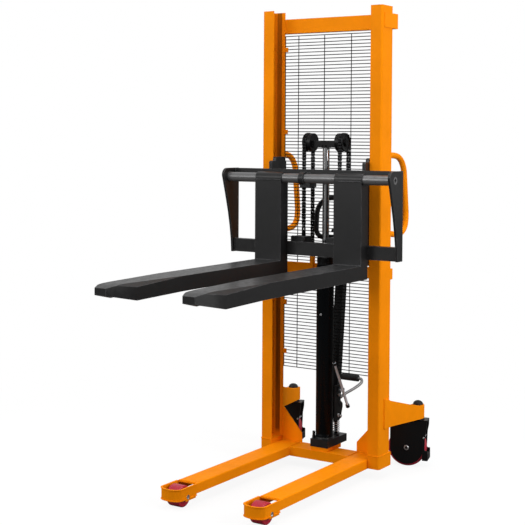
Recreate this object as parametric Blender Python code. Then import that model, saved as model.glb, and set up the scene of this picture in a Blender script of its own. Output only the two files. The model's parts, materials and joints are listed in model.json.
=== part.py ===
"""Manual hydraulic stacker: two open channel uprights on a low base with two
outrigger legs, a fork carriage hung on two chains over a ram-borne crosshead,
two hooked forks on a round bar, two braked swivel casters and a hand/foot pump.

Metres, +Z up.  Forks and legs point to -Y (the front), the operator stands at +Y
(the rear).  "right" is +X, as seen from the fork side.
All pieces are modelled with Y measured from the front face of the mast and are
parented to one empty that puts the centre of the footprint on the origin.
"""
import math

import bmesh
import bpy
from mathutils import Matrix, Vector

for old in list(bpy.data.objects):
    bpy.data.objects.remove(old, do_unlink=True)

# ----------------------------------------------------------- shared dimensions
FRAME_X, FRAME_Y = 0.01906, 0.42438   # mast centre and face from the footprint centre
GAP = 0.0003              # clearance between pieces that touch
MAST_GAP = 0.0006         # clearance of pieces that lie against the mast

MAST_H = 1.980            # overall height
MAST_X = 0.2928           # outer face of the web
MAST_D = 0.0976           # depth of the channel
MAST_SIDE = MAST_X + MAST_GAP
MAST_REAR = MAST_D + MAST_GAP

LEG_X0, LEG_X1 = 0.1455, 0.2380
LEG_Z0, LEG_Z1 = 0.0425, 0.0820

CYL_Y = 0.0520            # axis of the lifting cylinder
SHEAVE_X, SHEAVE_Z = 0.0880, 1.4090
CHAIN_R = 0.0370          # mid-thickness radius of the chain round the sheave
CHAIN_FRONT_Y = CYL_Y - CHAIN_R

BAR_Y, BAR_Z, BAR_R = -0.0980, 1.2570, 0.0205   # round bar that carries the forks

# ------------------------------------------------------------------- materials
# look: (base colour, roughness, metallic)
LOOKS = {
    "orange": ((0.93, 0.30, 0.012), 0.38, 0.0),
    "grey": ((0.045, 0.045, 0.048), 0.42, 0.0),
    "black": ((0.012, 0.012, 0.013), 0.45, 0.0),
    "chrome": ((0.75, 0.75, 0.76), 0.12, 1.0),
    "steel": ((0.45, 0.45, 0.46), 0.35, 1.0),
    "red": ((0.55, 0.02, 0.035), 0.45, 0.0),
    "rubber": ((0.015, 0.015, 0.016), 0.8, 0.0),
    "wire": ((0.02, 0.02, 0.022), 0.5, 0.2),
}


def make_material(name, look):
    colour, roughness, metallic = LOOKS[look]
    material = bpy.data.materials.new(name)
    material.use_nodes = True
    shader = material.node_tree.nodes["Principled BSDF"]
    shader.inputs["Base Color"].default_value = (*colour, 1.0)
    shader.inputs["Roughness"].default_value = roughness
    shader.inputs["Metallic"].default_value = metallic
    return material


base = bpy.data.objects.new("footprint_centre", None)
bpy.context.collection.objects.link(base)
base.location = (FRAME_X, FRAME_Y, 0.0)


# -------------------------------------------------------------- solid builders
def finish(solid):
    """Weld the solid and turn its faces outward."""
    bmesh.ops.remove_doubles(solid, verts=solid.verts, dist=1e-7)
    bmesh.ops.recalc_face_normals(solid, faces=solid.faces)
    if solid.calc_volume(signed=True) < 0:
        bmesh.ops.reverse_faces(solid, faces=solid.faces)
    return solid


def thicken(solid, step):
    """Push a flat sheet along a step to make it a solid."""
    extrusion = bmesh.ops.extrude_face_region(solid, geom=list(solid.faces))
    moved = [item for item in extrusion["geom"] if isinstance(item, bmesh.types.BMVert)]
    bmesh.ops.translate(solid, verts=moved, vec=step)
    return finish(solid)


def prism(outline, axis, start, end):
    """Closed outline pushed along one axis.  Its points are (y, z) for X, (x, z)
    for Y and (x, y) for Z."""
    place = {"X": lambda point, along: (along, point[0], point[1]),
             "Y": lambda point, along: (point[0], along, point[1]),
             "Z": lambda point, along: (point[0], point[1], along)}[axis]
    solid = bmesh.new()
    solid.faces.new([solid.verts.new(place(point, start)) for point in outline])
    return thicken(solid, Vector(place((0, 0), end)) - Vector(place((0, 0), start)))


def block(x0, x1, y0, y1, z0, z1):
    return prism([(x0, y0), (x1, y0), (x1, y1), (x0, y1)], "Z", z0, z1)


def arc(across, up, radius, start, end, steps):
    """Points on a circle centred at (across, up), angles in degrees."""
    angles = [math.radians(start + (end - start) * i / steps) for i in range(steps + 1)]
    return [(across + radius * math.cos(angle), up + radius * math.sin(angle))
            for angle in angles]


def lathe(profile, axis, centre, segments, closed=False):
    """Turn (along, radius) points about an axis through centre.  An open
    profile starts and ends on the axis; a closed one leaves a bore."""
    solid = bmesh.new()
    cx, cy, cz = centre

    def place(along, radius, angle):
        c, s = radius * math.cos(angle), radius * math.sin(angle)
        return {"X": (cx + along, cy + c, cz + s),
                "Y": (cx + c, cy + along, cz + s),
                "Z": (cx + c, cy + s, cz + along)}[axis]

    rings = []
    for along, radius in profile:
        if radius < 1e-9:
            rings.append([solid.verts.new(place(along, 0, 0))])
        else:
            rings.append([solid.verts.new(place(along, radius,
                                                -math.pi / 2 + 2 * math.pi * i / segments))
                          for i in range(segments)])
    pairs = list(zip(rings, rings[1:]))
    if closed:
        pairs.append((rings[-1], rings[0]))
    for near, far in pairs:
        for i in range(segments):
            j = (i + 1) % segments
            if len(near) == 1:
                solid.faces.new((near[0], far[j], far[i]))
            elif len(far) == 1:
                solid.faces.new((near[i], near[j], far[0]))
            else:
                solid.faces.new((near[i], near[j], far[j], far[i]))
    return finish(solid)


def rod(axis, centre, radius, start, end, segments):
    return lathe([(start, 0), (start, radius), (end, radius), (end, 0)], axis, centre, segments)


def skin(rings, loop=False):
    """Solid skinned over equal rings of points, capped or joined into a loop."""
    solid = bmesh.new()
    rings = [[solid.verts.new(point) for point in ring] for ring in rings]
    pairs = list(zip(rings, rings[1:]))
    if loop:
        pairs.append((rings[-1], rings[0]))
    else:
        solid.faces.new(rings[0])
        solid.faces.new(rings[-1])
    for near, far in pairs:
        for i in range(len(near)):
            j = (i + 1) % len(near)
            solid.faces.new((near[i], near[j], far[j], far[i]))
    return finish(solid)


def sweep(path, radius, segments, loop=False):
    """Round bar along a path."""
    points = [Vector(point) for point in path]
    count = len(points)
    tangents = []
    for i in range(count):
        if loop:
            tangent = points[(i + 1) % count] - points[(i - 1) % count]
        else:
            tangent = points[min(i + 1, count - 1)] - points[max(i - 1, 0)]
        tangents.append(tangent.normalized())
    normal = Vector((1, 0, 0)) if abs(tangents[0].x) < 0.9 else Vector((0, 0, 1))
    rings = []
    for point, tangent in zip(points, tangents):
        # Carrying the normal from ring to ring keeps the bar from twisting.
        normal = (normal - tangent * normal.dot(tangent)).normalized()
        binormal = tangent.cross(normal)
        angles = [2 * math.pi * k / segments for k in range(segments)]
        rings.append([point + normal * radius * math.cos(angle)
                      + binormal * radius * math.sin(angle) for angle in angles])
    return skin(rings, loop)


def smooth_path(points, steps):
    """Catmull-Rom curve through the points, with so many steps to each span."""
    knots = [Vector(point) for point in points]
    knots = [2 * knots[0] - knots[1]] + knots + [2 * knots[-1] - knots[-2]]
    curve = []
    for before, start, end, after in zip(knots, knots[1:], knots[2:], knots[3:]):
        for k in range(steps):
            t = k / steps
            curve.append(0.5 * (2 * start + (end - before) * t
                                + (2 * before - 5 * start + 4 * end - after) * t ** 2
                                + (3 * start - before - 3 * end + after) * t ** 3))
    return curve + [knots[-2]]


def turned(solid, matrix):
    bmesh.ops.transform(solid, matrix=matrix, verts=solid.verts)
    return solid


def mirrored(solid):
    """Mirror image in the X = 0 plane."""
    bmesh.ops.scale(solid, vec=(-1, 1, 1), verts=solid.verts)
    bmesh.ops.reverse_faces(solid, faces=solid.faces)
    return solid


def both_sides(solid):
    """The solid and its mirror image."""
    return [mirrored(solid.copy()), solid]


def helper(solid):
    mesh = bpy.data.meshes.new("tool")
    solid.to_mesh(mesh)
    solid.free()
    tool = bpy.data.objects.new("tool", mesh)
    tool.hide_render = True
    tool.display_type = "WIRE"
    bpy.context.collection.objects.link(tool)
    return tool


def combine(first, add=(), cut=()):
    """Union of solids, then cuts, as one mesh."""
    body = helper(first)
    tools = []
    for operation, group in (("UNION", add), ("DIFFERENCE", cut)):
        for part in group:
            tool = helper(part)
            tools.append(tool)
            modifier = body.modifiers.new(operation, "BOOLEAN")
            modifier.operation = operation
            modifier.solver = "EXACT"
            modifier.object = tool
    depsgraph = bpy.context.evaluated_depsgraph_get()
    solid = bmesh.new()
    solid.from_mesh(bpy.data.meshes.new_from_object(body.evaluated_get(depsgraph)))
    for used in [body] + tools:
        bpy.data.objects.remove(used, do_unlink=True)
    bmesh.ops.remove_doubles(solid, verts=solid.verts, dist=2e-6)
    bmesh.ops.dissolve_limit(solid, angle_limit=math.radians(0.5), verts=solid.verts,
                             edges=solid.edges)
    return solid


def node(name, look, solid, origin=(0, 0, 0), smooth=False):
    """Put a finished solid into the scene with its origin on its joint axis."""
    origin = Vector(origin)
    bmesh.ops.translate(solid, verts=solid.verts, vec=-origin)
    mesh = bpy.data.meshes.new(name)
    solid.to_mesh(mesh)
    solid.free()
    if smooth:
        mesh.shade_smooth()
        mesh.set_sharp_from_angle(angle=math.radians(35))
    piece = bpy.data.objects.new(name, mesh)
    mesh.materials.append(make_material(name + "_finish", look))
    bpy.context.collection.objects.link(piece)
    piece.parent = base
    piece.location = origin


SIDES = (("right", 1), ("left", -1))


def sided(solid, sign):
    return solid if sign > 0 else mirrored(solid)


# ------------------------------------------------------------------------ mast
FLANGE_X = 0.2386         # tip of the flanges
WEB_T, FLANGE_T = 0.0060, 0.0050
FOOT_Z0, FOOT_Z1 = 0.0450, 0.1000
TAB_Z = (1.8160, 1.4537, 0.7000, 0.4800)   # centres of the tabs on the rear flange


def channel_outline():
    bend = 0.008
    outline = [(FLANGE_X, 0.0)]
    outline += arc(MAST_X - bend, bend, bend, -90, 0, 3)
    outline += arc(MAST_X - bend, MAST_D - bend, bend, 0, 90, 3)
    outline += [(FLANGE_X, MAST_D), (FLANGE_X, MAST_D - FLANGE_T),
                (MAST_X - WEB_T, MAST_D - FLANGE_T), (MAST_X - WEB_T, FLANGE_T),
                (FLANGE_X, FLANGE_T)]
    return outline


def upright():
    outer, front, rear, corner = 0.2943, -0.0012, 0.1130, 0.010
    foot = prism([(0.2384, 0.0055), (0.2384, 0.1076), (0.2440, rear)]
                 + arc(outer - corner, rear - corner, corner, 90, 0, 3)
                 + arc(outer - corner, front + corner, corner, 0, -90, 3)
                 + [(0.2440, front)], "Z", FOOT_Z0, FOOT_Z1)
    tabs = [block(0.2225, 0.2450, 0.0929, 0.0973, z - 0.010, z + 0.010) for z in TAB_Z]
    return combine(prism(channel_outline(), "Z", FOOT_Z0 + 0.004, MAST_H), [foot] + tabs)


for side, sign in SIDES:
    node("mast_channel_" + side, "orange", sided(upright(), sign))


def rear_channel(z0, z1, rear, half_width, extras):
    """Cross member behind the uprights, open to the rear, with closed ends."""
    wall, lip = 0.005, 0.004
    body = block(-half_width, half_width, MAST_REAR, rear, z0, z1)
    hollow = block(-half_width + wall, half_width - wall, MAST_REAR + wall, rear + 0.02,
                   z0 + lip, z1 - lip)
    return combine(body, extras, [hollow])


def top_cross_beam():
    z0, z1, rear, half_width = 1.8880, 1.9505, 0.1355, 0.2962
    # end plates that reach forward over the outer faces of the uprights
    end = block(MAST_SIDE, half_width, 0.0175, rear - 0.001, z0 + 0.0005, z1 - 0.0005)
    return rear_channel(z0, z1, rear, half_width, both_sides(end))


def middle_cross_beam():
    lug = block(0.0800, 0.0960, 0.0800, 0.1010, 0.8450, 0.9150)
    return rear_channel(0.8320, 0.8780, 0.1190, 0.2890, both_sides(lug))


node("top_cross_beam", "orange", top_cross_beam())
node("middle_cross_beam", "orange", middle_cross_beam())

# --------------------------------------------------------------- base and legs
LEG_REAR, LEG_END = 0.0912, -0.6860
LOAD_Y, LOAD_R = -0.7400, 0.0420       # load roller, which stands on the floor
LOAD_CENTRE = ((LEG_X0 + LEG_X1) / 2, LOAD_Y, LOAD_R)


def base_cross_beam():
    half_width, wall = LEG_X0 - GAP, 0.006
    beam = block(-half_width, half_width, 0.0, 0.1000, LEG_Z0, 0.0815)
    hollow = block(-LEG_X0 + 0.02, LEG_X0 - 0.02, wall, 0.1000 - wall,
                   LEG_Z0 - 0.02, 0.0815 - wall)
    seat = block(-0.042, 0.042, 0.008, 0.125, 0.0810, 0.0977)
    # gusset outline (x, z), notched over the leg
    gusset = prism([(0.1374, 0.0750), (0.1450, 0.0750), (0.1450, LEG_Z1 + GAP),
                    (0.2383, LEG_Z1 + GAP), (0.2383, 0.2350), (0.1374, 0.1230)],
                   "Y", 0.0928, 0.0974)
    return combine(beam, [seat] + both_sides(gusset), [hollow])


node("base_cross_beam", "orange", base_cross_beam())


def leg_bow(inset):
    """Outline (x, y) of the leg's end: straight sides and a front that bulges forward."""
    x0, x1 = LEG_X0 - 0.0010 + inset, LEG_X1 + 0.0010 - inset
    middle, half, shoulder_y, bulge = (x0 + x1) / 2, (x1 - x0) / 2, -0.7810, 0.0280 - inset
    outline = [(x0, LEG_END)]
    for i in range(17):
        angle = math.pi * i / 16
        outline.append((middle - half * math.cos(angle), shoulder_y - bulge * math.sin(angle)))
    return outline + [(x1, LEG_END)]


def bow_band(inset, z0, z1):
    return prism(leg_bow(inset) + leg_bow(0.0045)[::-1], "Z", z0, z1)


def leg():
    chamfer, wall = 0.003, 0.005
    profile = [(LEG_X0, LEG_Z0), (LEG_X1, LEG_Z0), (LEG_X1, LEG_Z1 - chamfer),
               (LEG_X1 - chamfer, LEG_Z1), (LEG_X0 + chamfer, LEG_Z1),
               (LEG_X0, LEG_Z1 - chamfer)]
    hollow = block(LEG_X0 + wall, LEG_X1 - wall, LEG_END - 0.02, LEG_REAR - wall,
                   LEG_Z0 - 0.02, LEG_Z1 - wall)
    body = combine(prism(profile, "Y", LEG_END, LEG_REAR), cut=[hollow])
    bands = [bow_band(0.0, 0.0365, 0.0815),
             bow_band(-0.0025, 0.0360, 0.0392), bow_band(-0.0030, 0.0788, 0.0820)]
    ear_rear = LEG_END - 0.0040
    ears = [prism([(-0.7620, 0.0420), (-0.7560, 0.0285), (ear_rear, 0.0285),
                   (ear_rear, 0.0420)], "X", x, x + 0.0039)
            for x in (LEG_X0 - 0.0008, LEG_X1 - 0.0031)]
    hole = rod("X", LOAD_CENTRE, 0.0100, -0.08, 0.08, 20)
    return combine(body, bands + ears, [hole])


def load_roller():
    half, chamfer, edge_radius, bore = 0.0290, 0.005, 0.0370, 0.0100
    profile = [(-half, bore), (-half, edge_radius), (-half + chamfer, LOAD_R),
               (half - chamfer, LOAD_R), (half, edge_radius), (half, bore)]
    return lathe(profile, "X", LOAD_CENTRE, 32, closed=True)


for side, sign in SIDES:
    node("leg_" + side, "orange", sided(leg(), sign))
    axle = rod("X", LOAD_CENTRE, 0.0097, -0.0468, 0.0468, 20)
    node("load_axle_" + side, "steel", sided(axle, sign), smooth=True)
    node("load_roller_" + side, "red", sided(load_roller(), sign),
         (sign * LOAD_CENTRE[0], LOAD_Y, LOAD_R), smooth=True)

# --------------------------------------------------------------------- casters
# Yoke, wheel, axle and pedal are modelled in the caster's own frame: axle along X,
# stem at the origin, wheel at -Y.
STEM_X, STEM_Y = 0.3195, 0.3150
TRAIL = 0.0440                         # wheel axle from the stem axis
WHEEL_R, WHEEL_W = 0.0825, 0.0500
SWIVEL = math.radians(-74.0)
WHEEL_CENTRE = (0, -TRAIL, WHEEL_R)
PIN_CENTRE = (0, 0.0310, 0.1300)       # brake pedal pin


def caster_bracket():
    # outer plan and hollow (x, y)
    plan = [(MAST_SIDE, 0.0410), (MAST_X + 0.0056, 0.0410), (0.3010, 0.1000),
            (0.3478, 0.3054), (0.3468, 0.3224), (0.3328, 0.3424), (0.2985, 0.3424),
            (0.2700, MAST_REAR), (MAST_SIDE, MAST_REAR)]
    core = [(0.2970, 0.1150), (0.3414, 0.3074), (0.3408, 0.3209), (0.3300, 0.3366),
            (0.3040, 0.3366), (0.2780, 0.1150)]
    body = prism(plan, "Z", 0.2100, 0.3600)
    # cutter (y, z) above the slope that falls to the rear
    above = prism([(0.0, 0.3470), (0.2820, 0.2680), (0.45, 0.2680), (0.45, 0.40), (0.0, 0.40)],
                  "X", 0.20, 0.40)
    hollow = prism(core, "Z", 0.2155, 0.2625)
    floor_slot = block(0.2890, 0.2990, 0.1500, 0.1900, 0.2000, 0.2300)
    stem_hole = rod("Z", (STEM_X, STEM_Y, 0), 0.0125, 0.19, 0.23, 20)
    return combine(body, cut=[above, hollow, floor_slot, stem_hole])


def caster_cap(x):
    profile = [(0.2683, 0), (0.2683, 0.0215), (0.2740, 0.0210), (0.2800, 0.0170),
               (0.2845, 0.0100), (0.2860, 0)]
    return lathe(profile, "Z", (x, STEM_Y, 0), 24)


def caster_yoke():
    hood_radius = 0.0725
    # cheek outline (y, z)
    outline = [(0.0450, 0.2050), (0.0440, 0.1770), (0.0390, 0.1500), (0.0375, 0.1300),
               (0.0360, 0.1200), (0.0310, 0.1060), (0.0300, 0.0870)]
    outline += arc(-TRAIL, WHEEL_R, hood_radius, -5, -180, 11)
    outline += [(-TRAIL - hood_radius, 0.1830), (-0.0950, 0.2050)]
    cheeks = both_sides(prism(outline, "X", 0.0285, 0.0325))
    top = block(-0.0320, 0.0320, -0.0940, 0.0420, 0.1990, 0.2045)
    boss = rod("Z", (0, 0, 0), 0.0300, 0.2010, 0.2085, 24)
    stem = rod("Z", (0, 0, 0), 0.0120, 0.2050, 0.2500, 20)
    axle_hole = rod("X", WHEEL_CENTRE, 0.0063, -0.06, 0.06, 16)
    pin_hole = rod("X", PIN_CENTRE, 0.0043, -0.06, 0.06, 12)
    return combine(top, cheeks + [boss, stem], [axle_hole, pin_hole])


def caster_wheel():
    half, chamfer = WHEEL_W / 2, 0.005
    # one half, from the bore out to the tread
    profile = [(0.0278, 0.0064), (0.0278, 0.0180), (0.0200, 0.0200), (0.0200, 0.0600),
               (half, 0.0640), (half, WHEEL_R - chamfer), (half - chamfer, WHEEL_R)]
    profile = [(-along, radius) for along, radius in profile] + profile[::-1]
    return lathe(profile, "X", WHEEL_CENTRE, 28, closed=True)


def caster_axle():
    end, head, head_radius, radius = 0.0385, 0.0329, 0.0095, 0.0060
    profile = [(-end, 0), (-end, head_radius), (-head, head_radius), (-head, radius),
               (head, radius), (head, head_radius), (end, head_radius), (end, 0)]
    return lathe(profile, "X", WHEEL_CENTRE, 16)


def brake_pedal():
    # arm outline (y, z)
    outline = [(0.0240, 0.1320), (0.0280, 0.1370), (0.0345, 0.1370), (0.0375, 0.1320),
               (0.0360, 0.1000), (0.0350, 0.0740), (0.0490, 0.0740), (0.0495, 0.0300),
               (0.0250, 0.0300), (0.0250, 0.0640), (0.0240, 0.0900)]
    arms = both_sides(prism(outline, "X", 0.0330, 0.0360))
    pad = block(-0.0355, 0.0355, 0.0440, 0.0490, 0.0305, 0.0620)
    pin = rod("X", PIN_CENTRE, 0.0040, -0.0350, 0.0350, 12)
    return combine(pad, arms + [pin])


for side, sign in SIDES:
    stem_at = (sign * STEM_X, STEM_Y, 0)
    place = Matrix.Translation(stem_at) @ Matrix.Rotation(SWIVEL, 4, "Z")
    wheel_at = place @ Vector(WHEEL_CENTRE)
    node("caster_bracket_" + side, "orange", sided(caster_bracket(), sign))
    node("caster_cap_" + side, "black", caster_cap(sign * STEM_X), smooth=True)
    node("caster_yoke_" + side, "black", turned(caster_yoke(), place), stem_at)
    node("caster_wheel_" + side, "red", turned(caster_wheel(), place), wheel_at, smooth=True)
    node("caster_axle_" + side, "steel", turned(caster_axle(), place), wheel_at, smooth=True)
    node("caster_brake_pedal_" + side, "black", turned(brake_pedal(), place),
         place @ Vector(PIN_CENTRE))

# ----------------------------------------------------------- handles and guard
HANDLE_X, HANDLE_R = 0.2745, 0.0128
# handle centreline (y, z), from its upper end to its lower end on the mast
HANDLE_PATH = [
    (0.0982, 1.3560), (0.1400, 1.3560), (0.1790, 1.3518), (0.2035, 1.3425),
    (0.2230, 1.3285), (0.2362, 1.3115), (0.2450, 1.2925), (0.2506, 1.2600),
    (0.2588, 1.1900), (0.2672, 1.1220), (0.2682, 1.0850), (0.2610, 1.0540),
    (0.2424, 1.0330), (0.2180, 1.0222), (0.1850, 1.0185), (0.1465, 1.0208),
    (0.1131, 1.0250), (0.0995, 1.0255)]
for side, sign in SIDES:
    path = [(sign * HANDLE_X, y, z) for y, z in HANDLE_PATH]
    node("handle_" + side, "orange", sweep(path, HANDLE_R, 10), smooth=True)

GUARD_Y = 0.1205
GUARD_Z0, GUARD_Z1 = 0.4076, 1.8773
GUARD_ROWS = 12
GUARD_WIRES_X = (-0.2515, -0.1830, -0.0515, 0.0820, 0.2130, 0.2515)
WIRE_HALF = 0.0012        # half the side of the square wire


def wire_guard():
    """Flat lattice of square wires; the lines of the grid are the wires' edges."""
    wires_z = [GUARD_Z0 + (GUARD_Z1 - GUARD_Z0) * i / GUARD_ROWS for i in range(GUARD_ROWS + 1)]
    edges_x = sorted(x + d for x in GUARD_WIRES_X for d in (-WIRE_HALF, WIRE_HALF))
    edges_z = sorted(z + d for z in wires_z for d in (-WIRE_HALF, WIRE_HALF))
    sheet = bmesh.new()
    grid = [[sheet.verts.new((x, GUARD_Y - WIRE_HALF, z)) for x in edges_x] for z in edges_z]
    for j in range(len(edges_z) - 1):
        for i in range(len(edges_x) - 1):
            if i % 2 and j % 2:
                continue  # opening between wires
            sheet.faces.new((grid[j][i], grid[j][i + 1], grid[j + 1][i + 1], grid[j + 1][i]))
    return thicken(sheet, (0, 2 * WIRE_HALF, 0))


node("wire_guard", "wire", wire_guard())

# ---------------------------------------------------------------- lifting gear
CYL_R, CYL_BORE = 0.0375, 0.0300
ROD_R = 0.0150
CHAIN_T, CHAIN_W = 0.0090, 0.0160
CHAIN_REAR_Z, CHAIN_FRONT_Z = 0.9153, 1.0393   # lower ends of the two runs
PLUNGER_Y = 0.1550


def pump_block():
    plug_at = (-0.0370, 0.0262, 0)
    body = block(-0.043, 0.043, 0.0060, 0.1750, 0.0980, 0.1310)
    plug = rod("Z", plug_at, 0.0062, 0.1250, 0.1600, 12)
    collar = rod("Z", plug_at, 0.0074, 0.1250, 0.1420, 12)
    bore = rod("Z", (0, PLUNGER_Y, 0), 0.0083, 0.08, 0.15, 20)
    return combine(body, [plug, collar], [bore])


def cylinder_tube():
    bottom, floor, top = 0.1313, 0.1380, 0.8850
    return lathe([(bottom, 0), (bottom, CYL_R), (top, CYL_R), (top, CYL_BORE),
                  (floor, CYL_BORE), (floor, 0)], "Z", (0, CYL_Y, 0), 36)


def cylinder_gland():
    bottom, edge, top, bore, radius = 0.8853, 0.9150, 0.9203, 0.0153, 0.0365
    return lathe([(bottom, bore), (bottom, radius), (edge, radius), (top, 0.0320),
                  (top, bore)], "Z", (0, CYL_Y, 0), 36, closed=True)


def piston_rod():
    bottom, head_top, top, head_radius = 0.5200, 0.5600, 1.3857, 0.0295
    return lathe([(bottom, 0), (bottom, head_radius), (head_top, head_radius),
                  (head_top, ROD_R), (top, ROD_R), (top, 0)], "Z", (0, CYL_Y, 0), 28)


def crosshead():
    centre = (0, CYL_Y, SHEAVE_Z)
    bar = block(-0.0720, 0.0720, CYL_Y - 0.0160, CYL_Y + 0.0160, 1.3870, 1.4170)
    seat = rod("Z", (0, CYL_Y, 0), 0.0200, 1.3860, 1.3990, 24)
    ears = both_sides(rod("X", centre, 0.0395, 0.0600, 0.0765, 26))
    pins = both_sides(rod("X", centre, 0.0100, 0.0740, 0.1010, 20))
    caps = both_sides(rod("X", centre, 0.0150, 0.0990, 0.1030, 20))
    return combine(combine(bar, ears + [seat]), pins + caps)


def chain_sheave(centre):
    rim_x, groove_x, rim_radius, groove_radius, bore = 0.0105, 0.0083, 0.0400, 0.0320, 0.0104
    profile = [(-rim_x, bore), (-rim_x, rim_radius), (-groove_x, rim_radius),
               (-groove_x, groove_radius), (groove_x, groove_radius),
               (groove_x, rim_radius), (rim_x, rim_radius), (rim_x, bore)]
    return lathe(profile, "X", centre, 24, closed=True)


def lift_chain(x):
    """Both runs and the half turn over the sheave as one strap."""
    outer, inner = CHAIN_R + CHAIN_T / 2, CHAIN_R - CHAIN_T / 2
    outline = [(CYL_Y - outer, CHAIN_FRONT_Z)] + arc(CYL_Y, SHEAVE_Z, outer, 180, 0, 16)
    outline += [(CYL_Y + outer, CHAIN_REAR_Z), (CYL_Y + inner, CHAIN_REAR_Z)]
    outline += arc(CYL_Y, SHEAVE_Z, inner, 0, 180, 16) + [(CYL_Y - inner, CHAIN_FRONT_Z)]
    return prism(outline, "X", x - CHAIN_W / 2, x + CHAIN_W / 2)


node("pump_block", "black", pump_block())
node("cylinder_tube", "black", cylinder_tube(), smooth=True)
node("cylinder_gland", "black", cylinder_gland(), smooth=True)
bleed_screw = rod("Y", (0.0030, CYL_Y - CYL_R - 0.0005, 0.6710), 0.0050, -0.0045, 0.0, 12)
node("bleed_screw", "steel", bleed_screw, smooth=True)
node("piston_rod", "chrome", piston_rod(), (0, CYL_Y, 0.9), smooth=True)
node("crosshead", "black", crosshead(), (0, CYL_Y, SHEAVE_Z))
for side, sign in SIDES:
    sheave_at = (sign * SHEAVE_X, CYL_Y, SHEAVE_Z)
    node("chain_sheave_" + side, "black", chain_sheave(sheave_at), sheave_at, smooth=True)
    node("lift_chain_" + side, "black", lift_chain(sign * SHEAVE_X))

# -------------------------------------------------------------------- carriage
CAR_ORIGIN = (0, 0, 1.1)
PLATE_X1, PLATE_T = 0.4085, 0.0110     # side plate: outer face and thickness
INNER_X = PLATE_X1 - PLATE_T - GAP     # half length of what lies between the plates
CAR_REAR = -0.0340
BEAM_REAR = CAR_REAR - 0.0005
ROLL_Y, ROLL_R = 0.0488, 0.0428        # rollers that run in the mast channels
ROLL_Z = (("lower", 0.9450), ("upper", 1.2950))
ROLL_X0, ROLL_X1 = 0.2400, 0.2830


def carriage_side_plate():
    # outline (y, z)
    outline = [(-0.0290, 0.9270), (-0.0290, 1.2955)]
    outline += arc(-0.1170, 1.2655, 0.0300, 90, 180, 5)
    outline += [(-0.1240, 1.1900), (-0.1000, 1.1050), (-0.0850, 1.0350), (-0.0770, 0.9830),
                (-0.0730, 0.9270)]
    hole = rod("X", (0.4, BAR_Y, BAR_Z), 0.0120, -0.05, 0.05, 20)
    return combine(prism(outline, "X", PLATE_X1 - PLATE_T, PLATE_X1), cut=[hole])


def carriage_upper_beam():
    """Upper beam with a bracket and collar that hold the fork bar between the forks."""
    bar_at = (0, BAR_Y, BAR_Z)
    beam = block(-INNER_X, INNER_X, -0.0560, BEAM_REAR, 1.2445, 1.2945)
    web = block(-0.0350, 0.0120, -0.1080, -0.0500, 1.2200, 1.2480)
    tie = block(-0.0350, -0.0130, -0.0900, -0.0500, 1.2440, 1.2800)
    collar = rod("X", bar_at, 0.0275, -0.0360, -0.0120, 28)
    bore = rod("X", bar_at, BAR_R + GAP, -0.1, 0.1, 28)
    return combine(beam, [web, tie, collar], [bore])


def carriage_lower_beam():
    beam = block(-INNER_X, INNER_X, -0.0640, BEAM_REAR, 0.9280, 0.9850)
    anchors = both_sides(block(0.0560, 0.1200, -0.0400, 0.0290, 0.9720, 1.0060))
    bores = both_sides(rod("Z", (SHEAVE_X, CHAIN_FRONT_Y, 0), 0.0063, 0.94, 1.02, 12))
    return combine(beam, anchors, bores)


def fork_bar():
    bore = 0.0115
    return lathe([(-INNER_X, bore), (-INNER_X, BAR_R), (INNER_X, BAR_R), (INNER_X, bore)],
                 "X", (0, BAR_Y, BAR_Z), 32, closed=True)


def roller_plate():
    bottom, top, corner, front = 0.8960, 1.3450, 0.0090, CAR_REAR + GAP
    shoulder_z, notch_z, rear = 1.3285, 1.3220, 0.0845
    # outline (y, z)
    outline = [(front, bottom), (front, notch_z), (-0.0280, shoulder_z), (-0.0040, shoulder_z)]
    outline += arc(0.0060, top - corner, corner, 180, 90, 3)
    outline += arc(0.0620, top - corner, corner, 90, 0, 3)
    outline += [(0.0730, shoulder_z), (0.0790, shoulder_z), (rear, notch_z), (rear, bottom)]
    axles = [rod("X", (0, ROLL_Y, z), 0.0100, 0.2300, ROLL_X1 + 0.0015, 16) for _, z in ROLL_Z]
    washers = [rod("X", (0, ROLL_Y, z), 0.0160, 0.2350, ROLL_X0 - GAP, 16) for _, z in ROLL_Z]
    return combine(prism(outline, "X", 0.2215, 0.2370), axles + washers)


def mast_roller(z):
    chamfer, bore = 0.002, 0.0103
    profile = [(ROLL_X0, bore), (ROLL_X0, ROLL_R - chamfer), (ROLL_X0 + chamfer, ROLL_R),
               (ROLL_X1 - chamfer, ROLL_R), (ROLL_X1, ROLL_R - chamfer), (ROLL_X1, bore)]
    return lathe(profile, "X", (0, ROLL_Y, z), 24, closed=True)


def chain_stud(x):
    shank, nut = 0.0060, 0.0105
    profile = [(0.9510, 0), (0.9510, shank), (0.9600, shank), (0.9600, nut),
               (0.9717, nut), (0.9717, shank), (1.0063, shank), (1.0063, nut),
               (1.0170, nut), (1.0170, 0.0075), (1.0390, 0.0075), (1.0390, 0)]
    return lathe(profile, "Z", (x, CHAIN_FRONT_Y, 0), 12)


for side, sign in SIDES:
    node("carriage_side_plate_" + side, "grey", sided(carriage_side_plate(), sign), CAR_ORIGIN)
node("carriage_upper_beam", "grey", carriage_upper_beam(), CAR_ORIGIN)
node("carriage_lower_beam", "grey", carriage_lower_beam(), CAR_ORIGIN)
node("fork_bar", "grey", fork_bar(), (0, BAR_Y, BAR_Z), smooth=True)
for side, sign in SIDES:
    node("roller_plate_" + side, "grey", sided(roller_plate(), sign), CAR_ORIGIN)
    for level, z in ROLL_Z:
        node("mast_roller_%s_%s" % (level, side), "black", sided(mast_roller(z), sign),
             (sign * (ROLL_X0 + ROLL_X1) / 2, ROLL_Y, z), smooth=True)
    node("chain_stud_" + side, "steel", chain_stud(sign * SHEAVE_X),
         (sign * SHEAVE_X, CHAIN_FRONT_Y, 1.0))

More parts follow.
